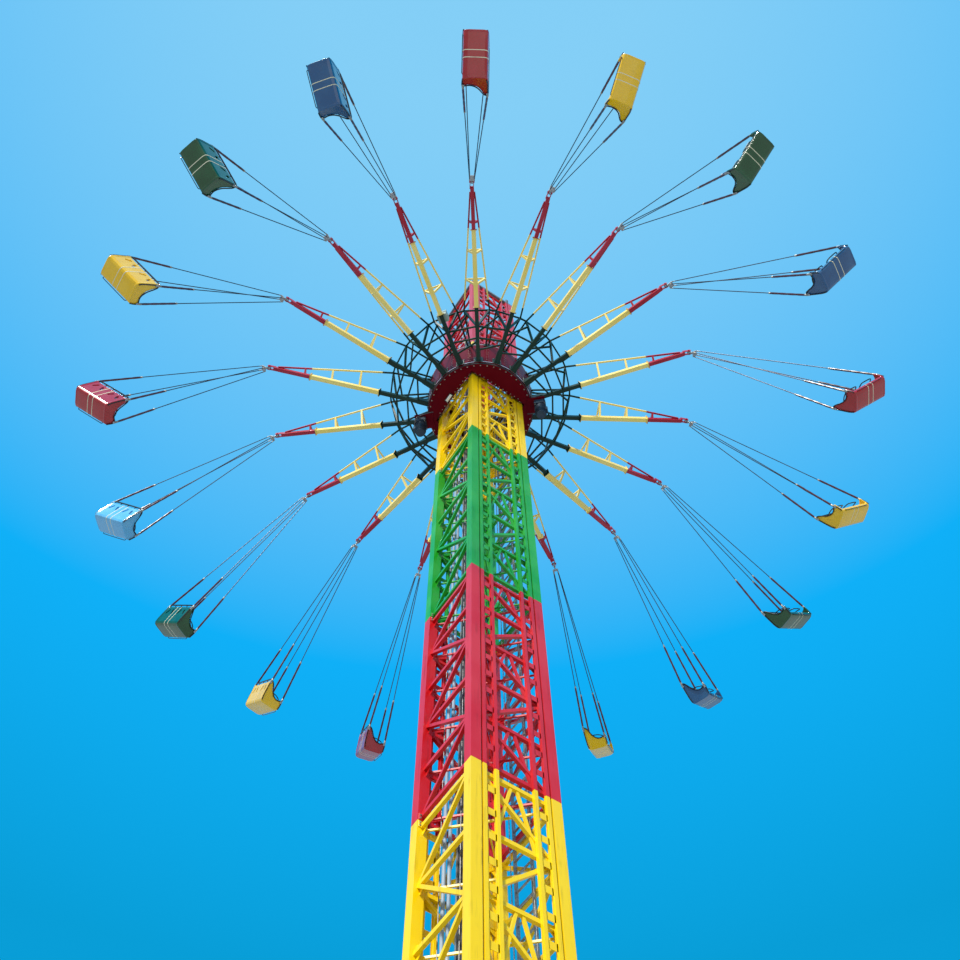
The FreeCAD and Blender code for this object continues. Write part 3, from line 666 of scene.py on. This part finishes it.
def merged(pieces, name):
    """Several grown pieces made one."""
    work = bmesh.new()
    for piece in pieces:
        work.from_mesh(piece.data)
    data = pieces[0].data
    work.to_mesh(data)
    work.free()
    soften(data)
    for piece in pieces[1:]:
        bpy.data.objects.remove(piece)
    pieces[0].name = name
    return pieces[0]


# ---- tower
window_pitch = 0.46
batten_height = 0.13
edge_strip = 0.018
panel_depth = 0.008
panel_y = half - 0.018
gap_inner = rail_offset + rail_size / 2
gap_outer = strip_offset - strip_size / 2
tie_pitch, tie_size = 0.55, (0.034, 0.014, 0.034)
gusset_reach, gusset_nose, gusset_thick = 0.115, 0.18, 0.010
joint_bolt_y = (-0.045, 0.045)


def section_span(index):
    bottom = section_tops[index - 1] if index else base_bracing
    return bottom, section_tops[index]


def section_levels(index):
    low, high = section_span(index)
    low, high = low + end_bar_inset, high - end_bar_inset
    count = bays if index else base_bays
    return [low + (high - low) * i / count for i in range(count + 1)]


def dress_section(index):
    """Windowed panels, slot ties, gussets, plan bracing and joint plates of one tower section."""
    node = section_nodes[index]
    paint = slot_finish[slot_of[node]]
    bottom, top = section_span(index)
    span, middle = top - bottom, (bottom + top) / 2
    count = int((span - 0.10) / window_pitch)
    start = middle - (count - 1) * window_pitch / 2
    rows = []
    for sx, sy in CORNERS:
        y = sy * panel_y
        rows.append(batten_row(count, window_pitch, (gap_outer - gap_inner, panel_depth, batten_height),
                               (sx * (gap_inner + gap_outer) / 2, y, start), paint))
        for offset in (gap_inner + edge_strip / 2, gap_outer - edge_strip / 2):
            rows.append(batten_row(1, 1.0, (edge_strip, panel_depth, span - 0.006), (sx * offset, y, middle), paint))
        rows.append(batten_row(int(span / tie_pitch), tie_pitch, tie_size,
                               (sx * (chord_inner - 0.015), sy * (chord_centre + 0.028), bottom + 0.30), paint))
    stock = Stock()
    for turn in spun():
        stock.turn = turn
        for level in section_levels(index):
            for side, lift in CORNERS:
                corner = Vector((side * chord_inner, -(chord_centre - 0.012), level + lift * 0.034))
                reach, rise = X * (-side * gusset_reach), Z * (lift * gusset_reach)
                if bottom + 0.02 < corner.z + rise.z < top - 0.02:
                    stock.slab([corner, corner + reach, corner + reach + rise * gusset_nose,
                                corner + rise + reach * gusset_nose, corner + rise], Y * gusset_thick)
        for lift, z in ((1, bottom), (-1, top)):
            for offset in joint_bolt_y:
                stock.plate((chord_inner - 0.006, chord_centre + offset, z + lift * 0.075), Z, Y,
                            (0.13, 0.060, 0.012))
    stock.turn = Matrix()
    for level in section_levels(index):
        for side in SIDES:
            along = Vector((side, 1.0, 0.0)) * 2 * (chord_inner + 0.010)
            stock.plate((0.0, 0.0, level - 0.010 + side * 0.014), along, Z, (along.length, 0.042, 0.026))
    plates = mesh_piece("gussets", stock, paint)
    settle(merged(rows + [plates], "panels_" + node), "tower")


def dress_joints():
    """Bolts through the joint plates inside the corner tubes, in pairs at each joint."""
    points = [(chord_inner - 0.012, chord_centre + offset, z + lift * step) for z in section_tops[:-1]
              for lift in SIDES for offset in joint_bolt_y for step in (0.045, 0.105)]
    groups = [bolt_set("joint", everywhere(points, [turn]), 0.013, 0.011, turn @ -X) for turn in spun()]
    settle(merged(groups, "joint_bolts"), "tower")


def dress_services():
    """Conduits, a cable tray and its cables up the inside of the back face."""
    low, high = base_top, section_tops[-1] - 0.15
    middle, length, steps = (low + high) / 2, high - low, 60
    pipes, tray, cables = Stock(), Stock(), Stock()
    for x in (-0.30, -0.21):
        pipes.tube([(x, cross_bar_inner - 0.040, z) for z in (low, high)], 0.030, 14)
    tray_x, tray_y, tray_half, tray_sheet = 0.02, cross_bar_inner - 0.016, 0.10, 0.004
    tray.plate((tray_x, tray_y, middle), Z, X, (length, 2 * tray_half, tray_sheet), 0.0)
    for side in SIDES:
        tray.plate((tray_x + side * tray_half, tray_y - 0.018, middle), Z, Y, (length, 0.040, tray_sheet), 0.0)
    for i, radius in enumerate((0.016, 0.012, 0.016, 0.010, 0.013)):
        x = tray_x - 0.072 + 0.036 * i
        cables.tube([(x + 0.004 * math.sin(1.7 * k + i), tray_y - 0.004 - radius, low + length * k / steps)
                     for k in range(steps + 1)], radius, 8)
    fit("conduits", pipes, "tower", "galvanised", pipe_paint)
    fit("cable_tray", tray, "tower", "galvanised")
    fit("tray_cables", cables, "tower", "sheave_iron", cable_jacket)
    clips = []
    for index in range(len(section_nodes)):
        levels = section_levels(index)
        for x, width in ((-0.255, 0.19), (tray_x, 0.24)):
            clips.append(batten_row(len(levels), levels[1] - levels[0], (width, 0.012, 0.040),
                                    (x, cross_bar_inner - 0.004, levels[0]), zinc))
    settle(merged(clips, "service_clips"), "tower")


def dress_base():
    """Anchor studs, nuts and washers, and stiffening ribs on the corner plates."""
    points = [(sx * chord_centre + dx * anchor_offset, sy * chord_centre + dy * anchor_offset, anchor_plate_top)
              for sx, sy in CORNERS for dx, dy in CORNERS]
    settle(bolt_set("anchor_nuts", points, 0.030, 0.028, Z), "tower")
    ribs = Stock()
    profile = ((0.0, anchor_plate_top), (0.19, anchor_plate_top), (0.19, 0.060), (0.02, 0.215), (0.0, 0.215))
    for turn in spun():
        ribs.turn = turn
        for offset in (0.560, 0.698, 0.760):
            for side in SIDES:
                ribs.slab([(side * offset, half + y, z) for y, z in profile], X * side * 0.012)
    fit("base_ribs", ribs, "tower", "base_grey")


# ---- carriage
def ring_points(radius, z, count, first=0.0):
    return everywhere([(radius, 0.0, z)], spun(count, first))


def dress_carriage():
    """Bolts, edge trim, a black running seal that is also painted shade for the gap under the drum, and lamps on the
    soffit, and bolts on the top plate.
    """
    edge = everywhere([(-0.60 + 0.12 * i, -0.875, soffit_under) for i in range(11)], spun())
    rows = [bolt_set("rim", ring_points(1.315, soffit_under, 48, 3.75), 0.013, 0.010, -Z),
            bolt_set("edge", edge, 0.011, 0.009, -Z)]
    settle(merged(rows, "soffit_bolts"), "carriage")
    trim = Stock()
    trim.turning([(r, soffit_under + z) for r, z in
                  ((1.290, -0.012), (1.302, -0.012), (1.302, 0.004), (1.290, 0.004))])
    for turn in spun():
        trim.turn = turn
        trim.plate((0.0, -0.852, soffit_under + 0.004), X, Y, (1.50, 0.022, 0.030), 0.004)
    fit("soffit_trim", trim, "carriage", "carriage_maroon")
    # A black rubber ring filling the gap between soffit and drum: a running seal, and also painted shade for the dark
    # gap band.
    seal = Stock()
    seal.turning([(1.352, soffit_under + 0.010), (1.366, soffit_under + 0.018), (1.368, soffit_top + 0.028),
                  (1.356, soffit_top + 0.050), (1.340, soffit_top + 0.050), (1.340, soffit_top + 0.002),
                  (1.350, soffit_top - 0.004)])
    fit("drum_seal", seal, "carriage", "wheel_polymer", gap_shade_rubber)
    housings, lenses = Stock(), Stock()
    for side in SIDES:
        housings.plate((side * 0.925, 0.10, soffit_under - 0.014), Y, X, (0.26, 0.10, 0.028), 0.006)
        lenses.plate((side * 0.925, 0.10, soffit_under - 0.040), Y, X, (0.22, 0.07, 0.030), 0.010)
    fit("lamp_housings", housings, "carriage", "bracket_grey")
    fit("lamp_lenses", lenses, "carriage", "wheel_polymer", lamp_glass)
    settle(bolt_set("top_plate_bolts", ring_points(1.300, carriage_top, 36), 0.014, 0.011, Z),
           "carriage")


def dress_motors():
    """Fins, terminal boxes, covers, conduits and feet bolts of the two drive motors."""
    fin_sets, hardware, boxes, conduits = [], [], Stock(), Stock()
    conduit_run = ((0.150, 0.03, gearbox_bottom - 0.14), (0.155, 0.06, gearbox_bottom - 0.06),
                   (0.10, 0.19, gearbox_bottom + 0.05), (-0.04, 0.20, soffit_under - 0.060),
                   (-0.22, 0.225, soffit_under - 0.024), (-0.36, 0.225, soffit_under - 0.014))
    for angle in motor_angles:
        spin = Matrix.Rotation(math.radians(angle), 4, "Z")
        boxes.turn = conduits.turn = spin
        fin_sets.append(fins.grow("fins", [], {
            "Count": 36, "Barrel Radius": motor_r + 0.006, "Fin Size": (0.028, 0.005, motor_length - 0.090),
            "Centre": spin @ Vector((motor_centre, 0.0, gearbox_bottom - motor_length / 2))}, motor_paint))
        boxes.plate((motor_centre + 0.150, 0.0, gearbox_bottom - 0.22), Z, Y, (0.16, 0.13, 0.07), 0.008)
        for x, y, across, width in ((0.148, 0.0, Y, 0.22), (0.0, 0.153, X, 0.20), (0.0, -0.153, X, 0.20)):
            boxes.plate((motor_centre + x, y, gearbox_bottom + 0.110), Z, across, (0.16, width, 0.012))
        conduits.tube(rounded([(motor_centre + x, y, z) for x, y, z in conduit_run], 8), 0.012, 8)
        feet = [(motor_centre + sx * 0.118, sy * 0.118, gearbox_bottom) for sy, sx in CORNERS]
        hardware.append(bolt_set("feet", everywhere(feet, [spin]), 0.014, 0.012, -Z))
    settle(merged(fin_sets, "motor_fins"), "carriage")
    fit("motor_boxes", boxes, "carriage", "motor_blue_grey")
    fit("motor_conduits", conduits, "carriage", "sheave_iron", cable_jacket)
    settle(merged(hardware, "motor_bolts"), "carriage")


# ---- turning head
def chord_height(radius):
    return arm_root_height + arm_slope * (radius - drum_outer)


def dress_drum():
    """Near-white edge rings, the lower one trim and also a painted highlight line above the soffit gap, and a riveted
    strap between each two arms.
    """
    trim = Stock()
    # The lower ring is trim and also a painted highlight line above the soffit gap; the upper ring is the drum's top
    # lip trim.
    for z, depth in ((drum_bottom + 0.002, 0.006), (drum_top - 0.050, 0.007)):
        ease = depth - 0.002 if depth < 0.007 else 0.006
        trim.turning([(drum_outer + 0.001, z), (drum_outer + depth + 0.001, z + ease),
                      (drum_outer + depth + 0.001, z + 0.026 - ease), (drum_outer + 0.001, z + 0.026)])
    fit("drum_trim", trim, "rotor", "bearing_steel", trim_and_highlight_steel)
    straps = Stock()
    turns = spun(arm_count, first_arm + 180.0 / arm_count)
    for turn in turns:
        straps.turn = turn
        straps.plate((drum_outer + 0.003, 0.0, (drum_bottom + drum_top) / 2), Z, Y,
                     (drum_top - drum_bottom - 0.20, 0.070, 0.006), 0.002)
    rivets = [(drum_outer + 0.006, side * 0.022, drum_bottom + 0.16 + 0.135 * i) for i in range(9) for side in SIDES]
    fit("drum_straps", straps, "rotor", "carriage_maroon")
    settle(bolt_set("drum_rivets", everywhere(rivets, turns), 0.007, 0.005), "rotor")


def dress_arm_roots():
    """Cheeks and a seat plate with bolts where each chord and each upper rod meets the drum."""
    stock, points, plate_thick = Stock(), [], 0.012
    z, rod_z = chord_height(drum_outer + 0.06), drum_top - 0.085
    cheek = ((0.0, -0.075), (0.30, 0.030), (0.30, 0.115), (0.10, 0.130), (0.0, 0.205))
    for side in SIDES:
        points += [(drum_outer + plate_thick, side * 0.100, z + dz) for dz in (-0.075, 0.020, 0.115, 0.185)]
        points += [(drum_outer + 0.010, side * 0.200 - 0.035, rod_z + dz) for dz in (-0.052, 0.052)]
    for turn in spun(arm_count, first_arm):
        stock.turn = turn
        stock.plate((drum_outer + plate_thick / 2, 0.0, z + 0.055), Z, Y, (0.32, 0.24, plate_thick))
        for side in SIDES:
            y = side * (root_chord / 2 + 0.006)
            stock.slab([(drum_outer + dx, y, z + dz) for dx, dz in cheek], Y * side * plate_thick)
            stock.plate((drum_outer + 0.005, side * 0.200, rod_z), Z, Y, (0.15, 0.12, 0.010))
            stock.plate((drum_outer + 0.045, side * 0.228, rod_z + 0.025), Z, X, (0.070, 0.090, 0.008), 0.002)
    fit("arm_root_plates", stock, "rotor", "arm_dark_green")
    settle(bolt_set("arm_root_bolts", everywhere(points, spun(arm_count, first_arm)), 0.011, 0.009),
           "rotor")


def dress_arm_joints():
    """Bolted flange pairs where an arm's sections meet, in each section's own colour."""
    along = Vector((1.0, 0.0, arm_slope)).normalized()
    up = along.cross(Y)
    layers = {slot: Stock() for slot in ("arm_dark_green", "arm_cream", "arm_red")}
    joints = ((colour_change[0], ("arm_dark_green", "arm_cream"), 0.180),
              (colour_change[1], ("arm_cream", "arm_red"), 0.172))
    heads = []
    for radius, slots, width in joints:
        centre = Vector((radius, 0.0, chord_height(radius)))
        for turn in spun(arm_count, first_arm):
            for side, slot in zip(SIDES, slots):
                layers[slot].turn = turn
                layers[slot].plate(centre + along * side * 0.007, Y, up, (width, width, 0.012), 0.002)
        inset = width / 2 - 0.018
        heads += [centre + Y * sy * inset + up * sz * inset + along * 0.013 for sy, sz in CORNERS]
    for slot, stock in layers.items():
        fit("flanges_" + slot, stock, "rotor", slot)
    settle(bolt_set("flange_bolts", everywhere(heads, spun(arm_count, first_arm)), 0.010, 0.008),
           "rotor")


# ---- gondolas
shell_half = 0.560
wing = 0.040  # thickness of a side wing
skin_cell, skin_share = 0.0085, 0.16
pan_line = ((-0.258, 0.128), (-0.268, 0.100), (-0.262, 0.050), (-0.235, 0.014), (-0.17, 0.003), (-0.05, 0.001),
            (0.08, 0.001), (0.18, 0.006), (0.238, 0.030), (0.262, 0.085), (0.270, 0.22), (0.278, 0.40),
            (0.284, 0.560), (0.282, 0.602), (0.264, 0.616), (0.244, 0.606), (0.234, 0.560), (0.216, 0.42),
            (0.188, 0.26), (0.164, 0.170), (0.130, 0.122), (0.06, 0.106), (-0.06, 0.108), (-0.16, 0.124),
            (-0.226, 0.138), (-0.248, 0.137))
pan_inner_from = 14  # where the line turns from the outside to the seat side
wing_line = ((-0.262, 0.060), (-0.280, 0.110), (-0.284, 0.220), (-0.286, 0.300), (-0.276, 0.326), (-0.252, 0.322),
             (-0.215, 0.292), (-0.150, 0.268), (-0.070, 0.272), (0.010, 0.310), (0.080, 0.380), (0.130, 0.470),
             (0.168, 0.560), (0.200, 0.618), (0.232, 0.644), (0.268, 0.644), (0.290, 0.618), (0.292, 0.540),
             (0.284, 0.360), (0.276, 0.180), (0.262, 0.070), (0.225, 0.018), (0.150, 0.004), (-0.150, 0.004),
             (-0.225, 0.018))
ridge_line = ((0.215, 0.08, 0), (-0.215, 0.06, 0), (-0.225, 0.130, 1), (-0.180, 0.158, 1), (-0.02, 0.176, 1),
              (0.110, 0.235, 1), (0.180, 0.340, 1), (0.222, 0.430, 1))
wing_rail = ((-0.262, 0.060), (-0.270, 0.180), (-0.262, 0.290), (-0.205, 0.284), (-0.110, 0.262), (-0.010, 0.300),
             (0.075, 0.390), (0.140, 0.510), (0.195, 0.600), (0.245, 0.624), (0.272, 0.580), (0.268, 0.380),
             (0.258, 0.180), (0.235, 0.060))
back_rail = ((shell_half + 0.010, 0.258, 0.600), (shell_half + 0.004, 0.270, 0.640), (0.515, 0.278, 0.666),
             (0.42, 0.280, 0.672))
front_rail = ((0.45, -0.262, 0.055), (0.44, -0.275, 0.030), (0.38, -0.278, 0.022))
lap_inner, lap_outer = 0.075, 0.490
lap_bar = ((0.0, 0.190, 0.330), (0.0, 0.120, 0.390), (0.0, -0.040, 0.385), (0.020, -0.160, 0.345),
           (0.080, -0.190, 0.335))


def clamped(share):
    return max(0.0, min(1.0, share))


def seat_hollow(x):
    """How deep the seat is dished at x: none at the middle ridge and the sides."""
    share = (abs(x) - 0.045) / (0.515 - 0.045)
    return math.sin(math.pi * share) ** 0.7 if 0.0 < share < 1.0 else 0.0


def pan_point(x, index):
    """A point of the pan's line at x: dished on the seat side, eased up at the sides of the foot."""
    y, z = pan_line[index]
    if index >= pan_inner_from:
        hollow = seat_hollow(x)
        seat = clamped((0.22 - z) / 0.10) * clamped((0.20 - y) / 0.08)
        back = clamped((z - 0.14) / 0.12) * clamped((0.60 - z) / 0.06)
        return x, y + 0.016 * hollow * back, z - 0.026 * hollow * seat * clamped((y + 0.262) / 0.10)
    if z < 0.03:
        z = z + 0.010 - 0.010 * (1 - (x / shell_half) ** 4)
    return x, y, z


def shell_form():
    """Seat pan, back and wings as overlapping closed forms, before they are skinned as one."""
    work = Stock()
    steps = 44
    work.loft([[pan_point(-shell_half + 2 * shell_half * i / steps, k) for k in range(len(pan_line))]
               for i in range(steps + 1)])
    for side in SIDES:
        work.loft([[(side * (shell_half - depth), y, z) for y, z in wing_line] for depth in (wing, 0.0)])
    work.loft([[(x, y, z - drop * share) for y, z, share in ridge_line]
               for x, drop in ((-0.034, 0.030), (-0.020, 0.004), (0.020, 0.004), (0.034, 0.030))])
    return work


def slot_form():
    """Long round-ended plugs that cut the leaning slots in the back."""
    work = Stock()
    length, radius, depth, arc_steps = 0.110, 0.031, 0.20, 8
    for side in SIDES:
        for x, lean in ((0.170, 24.0), (0.390, -24.0)):
            tilt = math.radians(lean) * side
            along = Vector((math.sin(tilt), 0.0, math.cos(tilt))).normalized()
            across = Vector((math.cos(tilt), 0.0, -math.sin(tilt))).normalized()
            centre, through = Vector((side * x, 0.255, 0.435)), along.cross(across)
            loop = []
            for end in (1, -1):
                for i in range(arc_steps + 1):
                    turn = math.radians(-90.0 * end + 180.0 * i / arc_steps)
                    loop.append(along * (end * length / 2 + math.cos(turn) * radius)
                                + across * math.sin(turn) * radius)
            work.loft([[centre + p + through * way * depth / 2 for p in loop] for way in SIDES])
    return work


def make_shell_mesh():
    """The moulded shell, skinned once and shared by all gondolas: fillets come from the skin."""
    body, cutter = (mesh_piece(form.__name__, form(), slot_finish["gondola_red"]) for form in (shell_form, slot_form))
    for name, kind, settings in (
            ("skin", "REMESH", {"mode": "VOXEL", "voxel_size": skin_cell}),
            ("ease", "SMOOTH", {"factor": 0.5, "iterations": 5}),
            ("slots", "BOOLEAN", {"operation": "DIFFERENCE", "solver": "EXACT", "object": cutter}),
            ("thin", "DECIMATE", {"ratio": skin_share})):
        modifier = body.modifiers.new(name, kind)
        for key, value in settings.items():
            setattr(modifier, key, value)
    bpy.context.view_layer.update()
    ready = body.evaluated_get(bpy.context.evaluated_depsgraph_get())
    data = bpy.data.meshes.new_from_object(ready)
    bpy.data.objects.remove(body)
    bpy.data.objects.remove(cutter)
    return data


def seam_form():
    """Two light strips across the underside, from the lip round to the back."""
    stock = Stock()
    outer = [Vector((0.0, y, z)) for y, z in pan_line[1:16]]
    middle = Z * 0.30
    for x in (-0.085, 0.085):
        loops = []
        for i, point in enumerate(outer):
            along = (outer[min(i + 1, len(outer) - 1)] - outer[max(i - 1, 0)]).normalized()
            out = along.cross(X)
            if out.dot(point - middle) < 0.0:
                out = -out
            base, top = point - out * 0.004, point + out * 0.0035
            top.z = max(top.z, 0.0005)
            loops.append([base + X * (x - 0.010), base + X * (x + 0.010), top + X * (x + 0.009), top + X * (x - 0.009)])
        stock.loft(loops)
    return stock


def arch(centre, halves, middle, side=1):
    """A run over and back: each of halves is (half span, y, z), from the ends to the middle."""
    return ([(centre - side * span, y, z) for span, y, z in halves] + [(centre,) + middle]
            + [(centre + side * span, y, z) for span, y, z in reversed(halves)])


def bar_form():
    """Black tube frame on the wings and back, and a lap bar for each seat."""
    stock = Stock()
    for side in SIDES:
        stock.tube(rounded([(side * (shell_half + 0.014), y, z) for y, z in wing_rail], 5), 0.014)
        span = (lap_outer - lap_inner) / 2
        halves = [(span - dx, y, z) for dx, y, z in lap_bar]
        stock.tube(rounded(arch(side * (lap_inner + span), halves, (-0.196, 0.332), side)), 0.013)
    stock.tube(rounded(arch(0.0, back_rail, (0.281, 0.674))), 0.018)
    for x in (-0.28, 0.0, 0.28):
        stock.tube([(x, 0.262, 0.600), (x, 0.272, 0.640), (x, 0.280, 0.672)], 0.011, 8)
    stock.tube(rounded(arch(0.0, front_rail, (-0.278, 0.020)), 5), 0.009, 8)
    return stock


lugs = [Vector((side * x, y, z)) for side in SIDES for x, y, z in (lug_rear, lug_front)]


def fitting_form():
    """Corner lugs, shackles, hanger eye, swivel and spreader, drawn plumb with the shell's foot at zero."""
    stock = Stock()
    for place in lugs:
        inward = X * -math.copysign(1.0, place.x)
        stock.plate(place + inward * 0.022 - Z * 0.030, Z, Y, (0.100, 0.052, 0.012))
        stock.plate(place + inward * 0.040 - Z * 0.040, Z, X, (0.050, 0.040, 0.020))
        stock.tube([place + inward * 0.036 - Z * 0.014, place + inward * 0.004 - Z * 0.014], 0.009)
    stock.turn = Matrix.Translation((0, 0, gondola_drop))
    stock.tube([(0, 0, -z) for z in (0.040, 0.075, 0.080, 0.105, 0.110, 0.165, 0.192)],
               [0.020, 0.020, 0.033, 0.033, 0.018, 0.018, 0.030], 16)
    stock.plate((0, 0, -neck_length - 0.012), X, Y, (0.148, 0.148, 0.022), 0.005)
    for sx, sy in CORNERS:
        stock.plate((sx * 0.058, sy * 0.058, -neck_length - 0.034), Z, X, (0.036, 0.026, 0.012))
    stock.turn = stock.turn @ Matrix.Rotation(math.radians(90), 4, "X")
    stock.turning([(0.0235, -0.026), (0.042, -0.030), (0.045, -0.024), (0.045, 0.024), (0.042, 0.030),
                   (0.0235, 0.026)], 28)
    return stock


def suspension_lines():
    """Top, knee, foot and direction of each of the four lines, plumb."""
    out = []
    for place in lugs:
        side, face = math.copysign(1.0, place.x), math.copysign(1.0, place.y)
        top = Vector((side * 0.060, face * 0.060, gondola_drop - neck_length - 0.040))
        foot = place - X * side * 0.020 - Z * 0.004
        along = (foot - top).normalized()
        out.append((top, foot - along * rod_length, foot, along))
    return out


def line_forms():
    """Wires, their sockets at top, knee and foot, and padded sleeves that swell between their ties."""
    wires, sockets, sleeves = Stock(), Stock(), Stock()
    steps, swells = 36, 4
    shares = [i / steps for i in range(steps + 1)]
    for top, knee, foot, along in suspension_lines():
        wires.tube([top, knee + along * 0.03], 0.011, 8)
        for end, places, radii, sides in (
                (top, (-0.006, 0.004, 0.070, 0.085), (0.009, 0.014, 0.014, 0.010), 10),
                (knee, (-0.040, -0.030, 0.020, 0.028), (0.012, 0.022, 0.025, 0.020), 12),
                (foot, (-0.075, -0.065, -0.010, -0.002), (0.020, 0.025, 0.025, 0.014), 12)):
            sockets.tube([end + along * place for place in places], radii, sides)
        sleeves.tube([knee + along * (0.010 + (rod_length - 0.080) * t) for t in shares],
                     [0.0225 + 0.0035 * abs(math.sin(math.pi * swells * t)) for t in shares])
    return wires, sockets, sleeves


def gondola_frames():
    """Each gondola's own frame, plumb drawing to place, from its joint."""
    frames = {}
    for joint in frame["joints"]:
        if not joint["name"].startswith("swing_"):
            continue
        rest = math.radians(-joint["range_deg"][0])
        rear = -Vector(joint["axis"]).normalized()
        level = rear.cross(Z)
        outward = level * math.cos(rest) + Z * math.sin(rest)
        overhead = Z * math.cos(rest) - level * math.sin(rest)
        turn = Matrix((outward, rear, overhead)).transposed().to_4x4()
        frames[joint["name"][-2:]] = (Matrix.Translation(Vector(joint["pos_m"])) @ turn
                                      @ Matrix.Translation((0.0, 0.0, -gondola_drop)))
    return frames


def make_gondolas():
    shell = make_shell_mesh()
    wires, sockets, sleeves = line_forms()
    forms = (("bars", bar_form(), bar_paint, "gondola_"), ("seams", seam_form(), strip_paint, "gondola_"),
             ("fittings", fitting_form(), zinc, "suspension_"), ("wires", wires, None, "suspension_"),
             ("ferrules", sockets, bolt_steel, "suspension_"), ("sheaths", sleeves, rod_sheath, "suspension_"))
    for number, place in gondola_frames().items():
        body = "gondola_" + number
        data = shell.copy()
        data.transform(place)
        data.materials.clear()
        data.materials.append(slot_finish[slot_of[body]])
        soften(data, 50.0)
        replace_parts(settle(linked("shell_" + number, data), body), body)
        for label, stock, material, node in forms:
            part = fit("%s_%s" % (label, number), stock.moved(place), body, slot_of[node + number], material)
            if label == "wires":
                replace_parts(part, node + number)


make_camera()
make_light()
make_floor()
dress_frame()
for section in range(len(section_nodes)):
    dress_section(section)
dress_joints()
dress_services()
dress_base()
dress_carriage()
dress_motors()
dress_drum()
dress_arm_roots()
dress_arm_joints()
make_gondolas()
